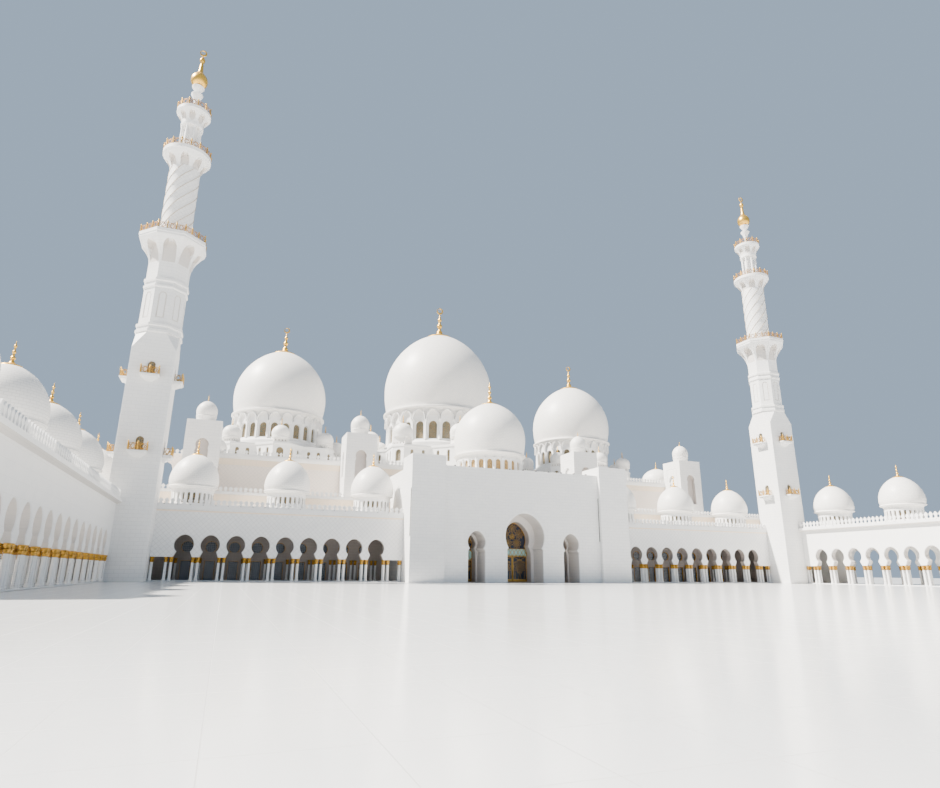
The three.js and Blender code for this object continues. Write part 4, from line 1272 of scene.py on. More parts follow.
def bars(lines, width, y0, y1, outline=None):
    """One eased bar copied along every line that lies inside the border."""
    places = []
    for (ax, az), (bx, bz) in lines:
        mx, mz = (ax + bx) / 2, (az + bz) / 2
        checked = [(mx + t * (bx - ax), mz + t * (bz - az)) for t in (-0.45, 0, 0.45)]
        if outline and not all(inside(outline, x, z) for x, z in checked):
            continue
        length = math.hypot(bx - ax, bz - az) + width * 0.8
        lean = Matrix.Rotation(-math.atan2(bz - az, bx - ax), 4, "Y")
        stretch = Matrix.Diagonal((length, 1, 1, 1))
        places.append(Matrix.Translation((mx, 0, mz)) @ lean @ stretch)
    bar = block(-0.5, 0.5, y0, y1, -width / 2, width / 2)
    edit(bar)
    pick(bar, "edges", lambda e: all(abs(v.co.y - y0) < MERGE for v in e.verts)
         and abs(e.verts[0].co.z - e.verts[1].co.z) < MERGE)
    bpy.ops.mesh.bevel(offset=width * 0.28, segments=1, affect="EDGES")
    finish_edit()
    return copies(bar, places)


def band(outer, inner, y0, y1):
    """A frame between two borders of as many points each."""
    return plate(outer + inner[::-1], y0, y1)


def clipped(piece, z, keep_above):
    """Cuts a plate level at z and keeps one side."""
    edit(piece)
    bpy.ops.mesh.bisect(plane_co=(0, 0, z), plane_no=(0, 0, 1), use_fill=True,
                        clear_inner=keep_above, clear_outer=not keep_above)
    finish_edit()
    face_uv(piece)
    return piece


# %% Screens over the doors
GATES = [
    # name, arch, centre, door head, head of the pale band, middle and reach of the net, bar
    ("centre", INNER_CENTRE, 0.0, 5.24, 6.67, 9.2, 1.2, 0.06),
    ("left", INNER_SIDE, -SIDE_ARCH_X, 4.37, 6.2, 7.7, 0.62, 0.036),
    ("right", INNER_SIDE, SIDE_ARCH_X, 4.37, 6.2, 7.7, 0.62, 0.036),
]
FRONT, BACK = SCREEN_Y - 0.12, SCREEN_Y + 0.12
glass_parts, band_parts, net_parts, frame_parts = [], [], [], []
for name, arch, centre, transom, band_top, middle, reach, bar in GATES:
    border = horseshoe(arch, centre, transom, -0.003)
    field = horseshoe(arch, centre, transom - 0.05, -0.06)
    glass_parts.append(clipped(plate(border, SCREEN_Y - 0.03, SCREEN_Y + 0.03), band_top, True))
    band_parts.append(clipped(plate(border, SCREEN_Y - 0.04, SCREEN_Y + 0.04), band_top, False))
    top_net = head_net(centre, middle, reach)
    top_net = [(a, b) for a, b in top_net if min(a[1], b[1]) > band_top]
    step = 0.6 * (band_top - transom)
    low_net = []
    for i in range(-5, 5):
        x0, x1 = centre + i * step, centre + (i + 1) * step
        low_net += [((x0, transom), (x1, band_top)), ((x0, band_top), (x1, transom))]
    for y0, y1 in ((FRONT + 0.03, SCREEN_Y - 0.03), (SCREEN_Y + 0.03, BACK - 0.03)):
        net_parts.append(bars(top_net, bar, y0, y1, field))
        net_parts.append(bars(fine(low_net, 6), 2 * bar, y0, y1, field))
    frame_parts.append(band(border, horseshoe(arch, centre, transom, -0.13), FRONT, BACK))
    reach_x = arch["leg"] - 0.01
    for z in (transom, band_top - 0.05):
        frame_parts.append(block(centre - reach_x, centre + reach_x, FRONT, BACK, z, z + 0.1, bevel=0.02))
screens = ["centre_arch_screen", "left_arch_screen", "right_arch_screen"]
settle(joined(glass_parts), "screen_glass", door_glass, "lattice_glass", replaces=screens)
settle(joined(band_parts), "screen_turquoise", turquoise, "lattice_glass", replaces=screens)
settle(joined(net_parts), "screen_stars", shaded_door_gold, "gilding", replaces=screens)
settle(joined(frame_parts), "screen_frames", shaded_door_gold, "gilding", replaces=screens)

# %% [markdown]
# ## Doors
# Each leaf is a gilded frame round dark glass, with the net on both faces and a tall pull near the
# meeting stile. A leaf rides on its own body, so that it swings with its hinge, and it stays as thick
# as its solid, because it has to clear the jamb.

# %% The leaves
LEAF_Y0, LEAF_Y1 = 6.325, 6.475
SILL = 0.05


def leaf_net(middle, low, high, reach):
    """A leaf's net: flowers as wide as the leaf, one over the other, and a slender fan under them."""
    rows_count = max(1, int((high - low) // (2.7 * reach)))
    lines = [((middle, high - 0.5 * reach), (middle, high))]
    for i in range(rows_count):
        eye = high - (1.32 + 2.0 * i) * reach
        lines += flower(middle, eye, reach, phase=math.pi / 10)
    for side in (-1, 1):
        petal = polar(middle, high - 1.32 * reach, reach, math.pi / 2 + side * 0.3 * math.pi)
        lines.append((petal, (middle + side * reach, high)))
        lines.append(((middle, eye - 0.7 * reach), (middle + side * 0.2 * reach, low)))
        x = middle + side * 0.72 * reach
        lines.append(((x, low), (x, eye - 0.75 * reach)))
    return lines


def leaf_parts(width, low, high):
    """Glass, net and frame of a right-hand leaf that hangs from x = width."""
    x0, x1 = 0.03, width + 0.06
    stile, foot_rail, head_rail = 0.18, 0.5, 0.12
    pane = block(x0 + 0.05, x1 - 0.05, SCREEN_Y - 0.02, SCREEN_Y + 0.02, low + 0.05, high - 0.05)
    reach = (x1 - x0) / 2 - stile
    net = leaf_net((x0 + x1) / 2, low + foot_rail, high - head_rail, reach)
    near_x, far_x = x0 + stile - 0.05, x1 - stile + 0.05
    under_z, over_z = low + foot_rail - 0.05, high - head_rail + 0.05
    limits = [(near_x, under_z), (far_x, under_z), (far_x, over_z), (near_x, over_z)]
    thick = 0.07 if width > 2 else 0.045
    faces = [bars(net, thick, LEAF_Y0 + 0.02, SCREEN_Y - 0.02, limits),
             bars(net, thick, SCREEN_Y + 0.02, LEAF_Y1 - 0.02, limits)]
    frame = [
        block(x0, x0 + stile, LEAF_Y0, LEAF_Y1, low, high, bevel=0.02),
        block(x1 - stile, x1, LEAF_Y0, LEAF_Y1, low, high, bevel=0.02),
        block(x0 + stile, x1 - stile, LEAF_Y0, LEAF_Y1, low, low + foot_rail, bevel=0.02),
        block(x0 + stile, x1 - stile, LEAF_Y0, LEAF_Y1, high - head_rail, high, bevel=0.02),
    ]
    pivot = turned([(0, SILL + 0.003), (0.04, SILL + 0.003), (0.04, low + 0.1), (0, low + 0.1)], 16)
    top_pivot = turned([(0, high - 0.1), (0.04, high - 0.1), (0.04, high + 0.067), (0, high + 0.067)], 16)
    frame += [copies(pivot, [at(width, SCREEN_Y)]), copies(top_pivot, [at(width, SCREEN_Y)])]
    grip = turned([(0, 1.0), (0.022, 1.0), (0.03, 1.05), (0.024, 1.12), (0.024, 1.9), (0.03, 1.97),
                   (0.022, 2.02), (0, 2.02)], 12)
    posts = []
    for z in (1.15, 1.82):
        posts.append(block(x0 + 0.06, x0 + 0.1, LEAF_Y0 - 0.08, LEAF_Y0 + 0.01, z, z + 0.05))
    frame += [copies(grip, [at(x0 + 0.08, LEAF_Y0 - 0.09)])] + posts
    return pane, joined(faces), joined(frame)


LEAVES = [("centre", 3.2, 5.17, 0.0), ("left", 1.3, 4.3, -SIDE_ARCH_X), ("right", 1.3, 4.3, SIDE_ARCH_X)]
for name, width, high, centre in LEAVES:
    for hand in ("left", "right"):
        node = name + "_door_" + hand + "_leaf"
        pane, net, frame_work = leaf_parts(width, 0.12, high)
        for piece, ending, stuff, slot in (
            (pane, "_glass", door_glass, "lattice_glass"), (net, "_stars", shaded_door_gold, "gilding"),
            (frame_work, "_frame", shaded_door_gold, "gilding"),
        ):
            place = at(centre, 0) @ (MIRROR if hand == "left" else Matrix.Identity(4))
            hung = copies(piece, [place])
            settle(hung, node + ending, stuff, slot, body=node, replaces=[node])
print("doors hung:", piece_count)

# %% [markdown]
# ## Columns
# Slim columns stand in fours under the foot of every arch. Each has a plinth, a rolled base, a shaft that
# tapers slightly, and a gilded capital like the crown of a date palm. The palm is a spun bell: two rings
# of its points are pulled out and down in turn, every second point, and become the tips of the leaves.

# %% One column and its capital
FLOOR_Z = 0.15
CAPITAL_Z = 3.1
ABACUS_Z = 3.985


def column_shaft():
    line = [(0.29, FLOOR_Z), (0.29, 0.27), (0.25, 0.4), (0.215, 0.48), (0.2, CAPITAL_Z + 0.02)]
    return turned(line, 10)


def palm_capital():
    line = [(0.24, CAPITAL_Z), (0.21, 3.2), (0.28, 3.52), (0.22, 3.56), (0.3, 3.86), (0.33, 3.9),
            (0.33, ABACUS_Z)]
    palm = turned(line, 12)
    edit(palm)
    for z, odd, out in ((3.52, 0, 1.2), (3.86, 1, 1.1)):
        def on_tip(v):
            step = round(math.atan2(v.co.y, v.co.x) / (math.pi / 6))
            return abs(v.co.z - z) < 0.01 and step % 2 == odd

        pick(palm, "verts", on_tip)
        bpy.ops.transform.resize(value=(out, out, 1), center_override=(0, 0, z))
        bpy.ops.transform.translate(value=(0, 0, -0.07))
    finish_edit()
    return palm


PIER_MIDDLE = 0.65
ARCADE_START, ARCADE_END = 24.203, 67.797
WING_TOP_Y, WING_END_Y = -1.053, -63.0665
END_IN = 0.35
PAIR_X, PAIR_Y = 0.41, 0.34
WALL_COLUMN_Y = 15.62
OUTER_X, OUTER_EDGE_X = 84.4, 85.7
fours = [(sx * PAIR_X, sy * PAIR_Y) for sx in (-1, 1) for sy in (-1, 1)]
arcade_piers = []
for i in range(10):
    x = ARCADE_FIRST_X + (i - 0.5) * BAY
    arcade_piers += [(x + dx, ARCADE_FRONT_Y + PIER_MIDDLE + dy) for dx, dy in fours]
for x in (ARCADE_START + END_IN, ARCADE_END - END_IN):
    arcade_piers += [(x, ARCADE_FRONT_Y + PIER_MIDDLE + dy) for dy in (-PAIR_Y, PAIR_Y)]
for i in range(10):
    x = ARCADE_FIRST_X + (i - 0.5) * BAY
    arcade_piers += [(x + dx, WALL_COLUMN_Y) for dx in (-PAIR_X, PAIR_X)]
wing_piers = [(WING_INNER_X + PIER_MIDDLE + dy, WING_TOP_Y - END_IN) for dy in (-PAIR_Y, PAIR_Y)]
outer_piers = []
for i in range(15):
    y = WING_FIRST_Y - (i - 0.5) * BAY
    wing_piers += [(WING_INNER_X + PIER_MIDDLE + dy, y + dx) for dx, dy in fours]
    outer_piers += [(OUTER_X + PIER_MIDDLE + dy, y + dx) for dx, dy in fours]


def on_both_sides(spots):
    return [at(side * x, y) for x, y in spots for side in (-1, 1)]


def set_columns(kind, spots, stone, nodes):
    """Columns under gilded capitals at these spots, on both sides of the court."""
    shafts = copies(column_shaft(), on_both_sides(spots))
    settle(shafts, kind + "_columns", stone, replaces=nodes)
    palms = copies(palm_capital(), on_both_sides(spots))
    settle(palms, kind + "_capitals", carved_gold, "gilding", replaces=nodes)


set_columns("arcade", arcade_piers, smooth_marble, sides("arcade_colonnade"))
set_columns("wing", wing_piers, inlay, sides("wing_colonnade"))
print("columns:", 2 * len(arcade_piers + wing_piers))

# %% [markdown]
# ## Arcades and wings
# One long wall serves both: a bar of marble on the capitals, with an arch sawn out for every bay. It is
# drawn along x, and for the wings it is turned a quarter.

# %% Gallery walls
WALL_THICK = 1.3
LINTEL_Z = 4.0
WALL_TOP = 12.0


def gallery_wall(length, first, count, foot=LINTEL_Z):
    """A wall from x = 0, its first arch at x = first, its face at y = 0."""
    wall = block(0, length, 0, WALL_THICK, foot, WALL_TOP)
    saws = [plate(horseshoe(GALLERY_ARCH, first + i * BAY, foot - 1, steps=16), -1, WALL_THICK + 1)
            for i in range(count)]
    cut_away(wall, joined(saws))
    for face in (0, WALL_THICK):
        ease_arches(wall, face, (0, length), (foot, WALL_TOP), 0.07, 1)
    return wall


def gallery_shade_linings(first, count, place):
    """Darker skins in the arches of one gallery, on both sides of the court: painted shade inside the
    arches.
    """
    skins = []
    for i in range(count):
        skins.append(arch_shade_lining(GALLERY_ARCH, first + i * BAY, LINTEL_Z - 0.05, 0.1, 1.2, 12))
    skins = joined(skins)
    skins.data.transform(place)
    return copies(skins, BOTH_SIDES)


wall = gallery_wall(ARCADE_END - ARCADE_START, ARCADE_FIRST_X - ARCADE_START, 9)
wall.data.transform(at(ARCADE_START, ARCADE_FRONT_Y))
settle(copies(wall, BOTH_SIDES), "arcade_fronts", tile_marble, replaces=sides("arcade_wall"), sharp=25)

QUARTER = -math.pi / 2
# The skins in the arches are painted shade: taupe in the arcades, pale stone in the wings
linings = gallery_shade_linings(ARCADE_FIRST_X, 9, at(0, ARCADE_FRONT_Y))
settle(linings, "arcade_arch_shade", shade_taupe_marble, sharp=25)
linings = gallery_shade_linings(WING_TOP_Y - WING_FIRST_Y, 14, at(WING_INNER_X, WING_TOP_Y, angle=QUARTER))
settle(linings, "wing_arch_shade", shade_pale_marble, sharp=25)
wall = gallery_wall(WING_TOP_Y - WING_END_Y, WING_TOP_Y - WING_FIRST_Y, 14)
wall.data.transform(at(WING_INNER_X, WING_TOP_Y, angle=QUARTER))
wall = copies(wall, BOTH_SIDES)
settle(wall, "wing_fronts", smooth_marble, replaces=sides("wing_inner_wall"), sharp=25)

OUTER_TOP_Y = 15.997
END_WALL_X, END_WALL_LENGTH, END_WALL_FIRST = 74.503, 9.897, 1.671
wall = gallery_wall(OUTER_TOP_Y - WING_END_Y, OUTER_TOP_Y - WING_FIRST_Y, 14)
wall.data.transform(at(OUTER_X, OUTER_TOP_Y, angle=QUARTER))
north_end = block(OUTER_X, OUTER_EDGE_X, WING_FIRST_Y + BAY / 2 + 0.6, OUTER_TOP_Y, 0, LINTEL_Z)
end_wall = gallery_wall(END_WALL_LENGTH, END_WALL_FIRST, 3, 0.0)
end_wall.data.transform(at(END_WALL_X, WING_END_Y))
walls = copies(joined([wall, north_end, end_wall]), BOTH_SIDES)
settle(walls, "wing_outer_walls", smooth_marble, replaces=sides("wing_outer_wall"), sharp=25)
set_columns("outer", outer_piers, inlay, sides("wing_outer_wall"))

# %% Floors and roofs of the galleries
# The arcade goes round behind the minaret, and the wing passes beside it
BEHIND_Y, BESIDE_X, BESIDE_END_Y = 5.953, 74.803, 5.947
WALK_EDGE_X, INNER_EDGE_X = 84.397, 74.497
END_THICK = 1.303
floors = [block(ARCADE_START, ARCADE_END, 4.2, OUTER_TOP_Y, 0, FLOOR_Z, bevel=0.02),
          block(ARCADE_END, WALK_EDGE_X, BEHIND_Y, OUTER_TOP_Y, 0, FLOOR_Z, bevel=0.02)]
settle(copies(joined(floors), BOTH_SIDES), "arcade_floors", floor_marble,
       replaces=sides("arcade_colonnade"))
step_x, end_y = WING_INNER_X - 0.1, WING_END_Y + END_THICK
floors = [block(step_x, WALK_EDGE_X, end_y, WING_TOP_Y, 0, FLOOR_Z, bevel=0.02),
          block(BESIDE_X, WALK_EDGE_X, WING_TOP_Y, BESIDE_END_Y, 0, FLOOR_Z, bevel=0.02),
          block(step_x, INNER_EDGE_X, WING_END_Y, end_y, 0, FLOOR_Z, bevel=0.02),
          block(WALK_EDGE_X, OUTER_EDGE_X, WING_END_Y, OUTER_TOP_Y, 0, FLOOR_Z, bevel=0.02)]
settle(copies(joined(floors), BOTH_SIDES), "wing_floors", floor_marble,
       replaces=sides("wing_colonnade"))

SLAB_Z = 12.003
OVERHANG = 0.12
ROOF_EDGE_X = 85.82
front_y = ARCADE_FRONT_Y - OVERHANG
slabs = [block(ARCADE_START, ARCADE_END, front_y, OUTER_TOP_Y, SLAB_Z, ROOF_Z, bevel=0.03),
         block(ARCADE_END, WALK_EDGE_X, BEHIND_Y, OUTER_TOP_Y, SLAB_Z, ROOF_Z, bevel=0.03)]
settle(copies(joined(slabs), BOTH_SIDES), "arcade_roofs", smooth_marble, replaces=sides("arcade_roof"))
CORNICE = [(0, SLAB_Z), (-0.12, SLAB_Z), (-0.66, 12.22), (-0.78, 12.25), (-0.78, ROOF_Z), (0, ROOF_Z)]
cornice = moulding(CORNICE, 0, WING_TOP_Y - WING_END_Y)
cornice.data.transform(at(WING_INNER_X, WING_TOP_Y, angle=QUARTER))
end_y = WING_END_Y - OVERHANG
slabs = [cornice,
         block(WING_INNER_X, ROOF_EDGE_X, end_y, WING_TOP_Y, SLAB_Z, ROOF_Z, bevel=0.03),
         block(BESIDE_X, ROOF_EDGE_X, WING_TOP_Y, BESIDE_END_Y, SLAB_Z, ROOF_Z, bevel=0.03),
         block(OUTER_X, ROOF_EDGE_X, BESIDE_END_Y, OUTER_TOP_Y, SLAB_Z, ROOF_Z, bevel=0.03)]
slabs = settle(copies(joined(slabs), BOTH_SIDES), "wing_roofs", smooth_marble,
               replaces=sides("wing_roof"))
# The undersides of the cornice, and of the slabs, get the darker niche stone: painted shade beneath them
slabs.data.materials.append(niche_shade_marble)
under = read(slabs.data.polygons, "normal", 3)[:, 2] < -0.3
slabs.data.polygons.foreach_set("material_index", under.astype(np.int32))
line = moulding([(-0.05, 11.66), (-0.05, 11.84), (0, 11.88), (0, 11.62)], ARCADE_START, ARCADE_END)
line.data.transform(at(0, ARCADE_FRONT_Y))
settle(copies(line, BOTH_SIDES), "arcade_cream_lines", cream_band, "cream_marble")

# %% [markdown]
# ## Merlons
# Every roof edge carries a row of carved leaves of stone. One leaf is a plate cut to its outline, and the
# row is the leaf copied at an even step. With about a thousand of them the leaf has only a few dozen
# faces. Between the leaves and the roof runs a low plinth with rain spouts: small dark blocks, painted
# shade.

# %% One leaf and its rows
MERLON_STEP = BAY / 4.5


def merlon(height, width):
    half = [(0.3, 0.0), (0.26, 0.1), (0.19, 0.24), (0.24, 0.36), (0.37, 0.5), (0.4, 0.62), (0.3, 0.74),
            (0.17, 0.84), (0.12, 0.9)]
    right = [(x * width, z * height) for x, z in half]
    outline = right + [(0, height)] + [(-x, z) for x, z in reversed(right)]
    return plate(outline, -0.09, 0.09)


def merlon_row(length, plinth, height, z):
    """A plinth and its leaves along x, with the leaves' middle at y = 0."""
    count = max(1, round(length / MERLON_STEP))
    step = length / count
    leaves = copies(merlon(height, step), [at((i + 0.5) * step, 0, z + plinth) for i in range(count)])
    base = block(0, length, -0.16, 0.16, z, z + plinth, bevel=0.02)
    return joined([leaves, base])


def set_row(length, plinth, height, z, place):
    """A row of merlons that starts at a place and runs along its x."""
    row = merlon_row(length, plinth, height, z)
    row.data.transform(place)
    return row


# Length, plinth, height of a leaf, foot and start of each row
ARCADE_ROW = (ARCADE_END - ARCADE_START, 0.22, 0.95, ROOF_Z, at(ARCADE_START, ARCADE_FRONT_Y + 0.1))
WING_START = at(WING_INNER_X - 0.3, WING_TOP_Y, angle=QUARTER)
WING_ROW = (WING_TOP_Y - WING_END_Y, 0.2, 1.25, ROOF_Z, WING_START)
OUTER_START = at(OUTER_EDGE_X - 0.1, OUTER_TOP_Y, angle=QUARTER)
OUTER_ROW = (OUTER_TOP_Y - WING_END_Y, 0.2, 1.25, ROOF_Z, OUTER_START)
END_ROW = (12.2, 0.2, 1.25, ROOF_Z, at(WING_INNER_X - 0.1, WING_END_Y + 0.1))
made = [set_row(*row) for row in (ARCADE_ROW, WING_ROW, OUTER_ROW, END_ROW)]
settle(copies(joined(made), BOTH_SIDES), "gallery_merlons", smooth_marble)


def spouts(length, z, place):
    """Small dark blocks in the face of a plinth, painted shade in the mouths of the rain spouts, two to a
    bay.
    """
    mouth = block(-0.1, 0.1, -0.17, -0.1, z + 0.05, z + 0.13)
    count = round(2 * length / BAY)
    row = copies(mouth, [at((i + 0.5) * length / count, 0) for i in range(count)])
    row.data.transform(place)
    return row


mouths = [spouts(row[0], row[3], row[4]) for row in (ARCADE_ROW, WING_ROW)]
settle(copies(joined(mouths), BOTH_SIDES), "rain_spouts", dark_fittings_and_spout_shade, "lattice_glass")

HALL_FRONT_Y, HALL_BACK_Y, HALL_HALF = 31.0, 88.8, 66.5
HALL_TOP_Z, TERRACE_Z, SECOND_TOP_Z = 26.7, 26.0, 16.6
SECOND_ROW_Y = 16.2
TURRET_Y = 27.497
hall_depth = HALL_BACK_Y - HALL_FRONT_Y
second_length = OUTER_EDGE_X - ARCADE_START
hall_rows = (
    (2 * HALL_HALF, HALL_TOP_Z, at(-HALL_HALF, HALL_FRONT_Y + 0.1)),
    (2 * HALL_HALF, HALL_TOP_Z, at(-HALL_HALF, HALL_BACK_Y - 0.1)),
    (hall_depth, HALL_TOP_Z, at(HALL_HALF - 0.1, HALL_BACK_Y, angle=QUARTER)),
    (hall_depth, HALL_TOP_Z, at(-HALL_HALF + 0.1, HALL_BACK_Y, angle=QUARTER)),
    (6.0, TERRACE_Z, at(66.6, HALL_FRONT_Y + 0.5)),
    (6.0, TERRACE_Z, at(-72.6, HALL_FRONT_Y + 0.5)),
    (second_length, SECOND_TOP_Z, at(ARCADE_START, SECOND_ROW_Y)),
    (second_length, SECOND_TOP_Z, at(-OUTER_EDGE_X, SECOND_ROW_Y)),
)
made = [set_row(length, 0.18, 0.95, z, place) for length, z, place in hall_rows]
settle(joined(made), "hall_merlons", smooth_marble)
print("merlons made:", piece_count)

# %% [markdown]
# ## Minarets
# A minaret climbs from a square to an octagon to a round shaft. The step from square to octagon is the
# part to watch: four slanting cuts take the corners off a block, which bisect does in one stroke each.
# The galleries flare out over arched niches, sawn into a spun or eight-sided bell, so that slim ribs
# are left between them. One minaret is made about its own axis and copied for the other.

# %% The square shaft with its balconies
SHAFT_HALF = 3.5
SQUARE_TOP, OCTAGON_Z = 38.7, 41.9
BALCONY_DECKS = (20.7, 33.9)
TOWER_X, TOWER_Y = 71.3, 2.45
TOWERS = [at(side * TOWER_X, TOWER_Y) for side in (-1, 1)]
CORNER_OUT = 1 / math.cos(math.pi / 8)


def quarter_turns(piece):
    return ring_of(piece, 4)


def balcony_door(deck):
    return arch_line(0.62, deck, deck + 1.9, deck + 2.6, 8)


def square_shaft():
    shaft = block(-SHAFT_HALF, SHAFT_HALF, -SHAFT_HALF, SHAFT_HALF, 0, SQUARE_TOP)
    edit(shaft)
    pick(shaft, "edges", lambda e: abs(e.verts[0].co.z - e.verts[1].co.z) > 1)
    bpy.ops.mesh.bevel(offset=0.07, segments=2, affect="EDGES")
    finish_edit()
    shoulder = block(-SHAFT_HALF, SHAFT_HALF, -SHAFT_HALF, SHAFT_HALF, SQUARE_TOP, OCTAGON_Z)
    edit(shoulder)
    reach = SHAFT_HALF * math.sqrt(2)
    lean = (reach - SHAFT_HALF) / (OCTAGON_Z - SQUARE_TOP)
    for i in range(4):
        angle = math.pi / 4 + math.pi / 2 * i
        outward = Vector((math.cos(angle), math.sin(angle), lean))
        corner = Vector((math.cos(angle) * reach, math.sin(angle) * reach, SQUARE_TOP))
        bpy.ops.mesh.select_all(action="SELECT")
        bpy.ops.mesh.bisect(plane_co=corner, plane_no=outward, use_fill=True, clear_outer=True)
    finish_edit()
    face_uv(shoulder)
    saws = [plate(balcony_door(deck), -4, -3.15) for deck in BALCONY_DECKS]
    cut_away(shaft, quarter_turns(joined(saws)))
    return joined([shaft, shoulder])


def corbel(deck):
    """Two stepped slabs over an upside-down pyramid."""
    wall_y, foot_z = -SHAFT_HALF, deck - 1.1
    slab = block(-1.55, 1.55, -5.0, wall_y, deck - 0.26, deck, bevel=0.03)
    step = block(-1.4, 1.4, -4.82, wall_y, deck - 0.48, deck - 0.26, bevel=0.03)
    foot = block(-1.25, 1.25, -4.6, wall_y, foot_z, deck - 0.48)
    edit(foot)
    pick(foot, "verts", lambda v: v.co.z < foot_z + 0.1)
    bpy.ops.transform.resize(value=(0.4, 0.25, 1), center_override=(0, wall_y, foot_z))
    finish_edit()
    return joined([slab, step, foot])


# %% Gilded railings
RAIL_HEIGHT = 1.15
NICHE_MARGIN = 0.08


def rail_post(z):
    """A square post with a knob, at the origin."""
    top = z + RAIL_HEIGHT + 0.1
    post = block(-0.09, 0.09, -0.09, 0.09, z, top, bevel=0.015)
    knob = turned([(0, -0.02), (0.07, 0.0), (0.13, 0.1), (0.11, 0.2), (0.03, 0.28), (0, 0.3)], 8)
    return joined([post, copies(knob, [at(0, 0, top)])])


def rail_lattice(length, z):
    """Rails and crossed bars between two posts, along x from the origin."""
    x0, x1, low, high = 0.08, length - 0.08, z + 0.12, z + RAIL_HEIGHT
    xm, zm = (x0 + x1) / 2, (low + high) / 2
    lines = [((x0, low), (x1, low)), ((x0, high), (x1, high))]
    for end_z, middle_z in ((low, high), (high, low), (zm, high), (zm, low)):
        lines += [((x0, end_z), (xm, middle_z)), ((xm, middle_z), (x1, end_z))]
    return bars(lines, 0.07, -0.03, 0.03)


def settle_rails(name, posts, lattice, finish=aged_bronze):
    settle(copies(posts, TOWERS), name + "_posts", polished_gold, "gilding")
    settle(copies(lattice, TOWERS), name + "_lattice", finish, "gilding")


def railing(name, sides_count, radius, panels, z):
    """Rails along each side of a regular deck whose sides are this far from the axis."""
    length = 2 * radius * math.tan(math.pi / sides_count)
    step = length / panels
    spots = [at(-length / 2 + step * i, -radius) for i in range(panels)]
    settle_rails(name, ring_of(copies(rail_post(z), spots), sides_count),
                 ring_of(copies(rail_lattice(step, z), spots), sides_count))


def balcony_rails():
    half, out, deep = 1.42, -4.88, 1.33
    posts, lattice = [], []
    for deck in BALCONY_DECKS:
        posts.append(copies(rail_post(deck), [at(x, out) for x in (-half, 0, half)]))
        lattice.append(copies(rail_lattice(half, deck), [at(-half, out), at(0, out)]))
        ends = [at(x, out, angle=math.pi / 2) for x in (-half, half)]
        lattice.append(copies(rail_lattice(deep, deck), ends))
    settle_rails("balcony", quarter_turns(joined(posts)), quarter_turns(joined(lattice)), carved_gold)


def shade_niches(piece, line, sides_count=0, low=0.0):
    """Gives the faces behind the profile, from a height up, a darker stone: painted shade in the niches.
    """
    piece.data.materials.append(niche_shade_marble)
    centres = read(piece.data.polygons, "center", 3)
    tilt = np.abs(read(piece.data.polygons, "normal", 3)[:, 2])
    x = np.abs(centres[:, 0]) / MODEL_SCALE - TOWER_X
    y = (centres[:, 1] - portal_front) / MODEL_SCALE - TOWER_Y
    z = centres[:, 2] / MODEL_SCALE
    reach = np.hypot(x, y)
    if sides_count:
        turns = np.arange(sides_count) * 2 * math.pi / sides_count
        reach = (x[:, None] * np.cos(turns) + y[:, None] * np.sin(turns)).max(axis=1)
    radii, heights = np.array(line).T
    behind = reach < np.interp(z, heights, radii) - NICHE_MARGIN
    deep = behind & (tilt < 0.9) & (z > low)
    piece.data.polygons.foreach_set("material_index", deep.astype(np.int32))
    print(piece.name, "niche faces:", int(deep.sum()))


# %% Set the shafts and balconies
settle(copies(square_shaft(), TOWERS), "minaret_shafts", block_marble,
       replaces=sides("minaret_shaft"), sharp=25)
corbels = joined([quarter_turns(corbel(deck)) for deck in BALCONY_DECKS])
settle(copies(corbels, TOWERS), "balcony_corbels", smooth_marble, replaces=sides("minaret_shaft"))
balcony_rails()
doors = [plate(balcony_door(deck), -3.2, -3.1) for deck in BALCONY_DECKS]
settle(copies(quarter_turns(joined(doors)), TOWERS), "balcony_doors", drum_lattice, "lattice_glass")

# %% The eight-sided tier
OCTAGON_LINE = [
    (0, 41.903), (3.75, 41.903), (3.75, 42.4), (3.55, 42.5), (3.55, 43.0), (3.75, 43.1), (3.75, 43.5),
    (3.42, 43.65), (3.4, 50.4), (3.62, 50.6), (3.62, 50.95), (3.42, 51.1), (3.42, 51.6), (3.66, 51.8),
    (3.66, 52.25), (3.4, 52.4), (3.4, 55.4), (3.5, 56.2), (3.75, 57.2), (4.25, 58.3), (4.9, 59.3),
    (5.4, 59.9), (5.5, 60.1), (5.5, 60.45), (5.6, 60.5), (5.6, 61.1), (0, 61.1),
]
tier = turned([(r * CORNER_OUT, z) for r, z in OCTAGON_LINE], 8, turn=math.pi / 8)
saws = [plate(arch_line(0.66, 44.7, 48.9, 49.7, 8), -4, -3.3),
        plate(arch_line(1.12, 55.2, 58.2, 59.55, 10), -7, -3.42)]
tier = cut_away(tier, ring_of(joined(saws), 8))
tier = settle(copies(tier, TOWERS), "minaret_octagons", block_marble,
              replaces=sides("minaret_octagon"), sharp=25)
shade_niches(tier, OCTAGON_LINE, 8)
inset = arch_line(0.46, 44.9, 48.9, 49.5, 8)
settle(copies(ring_of(plate(inset, -3.36, -3.28), 8), TOWERS), "octagon_panels", smooth_marble)
railing("octagon", 8, 5.42, 3, 61.1)

# %% [markdown]
# The third tier is twisted: eight thin lines climb round it. A circle is given its eight low ridges, then
# it is extruded upwards a little at a time and turned a little each time. The tan line on each ridge is
# a small square, which a screw modifier winds up by the same turn.

# %% The twisted tier
STRANDS = 8
TWIST_LEVELS = 40
TWIST_LOW, TWIST_HIGH = 61.103, 76.6
TWIST_PER_LEVEL = math.radians(268) / TWIST_LEVELS


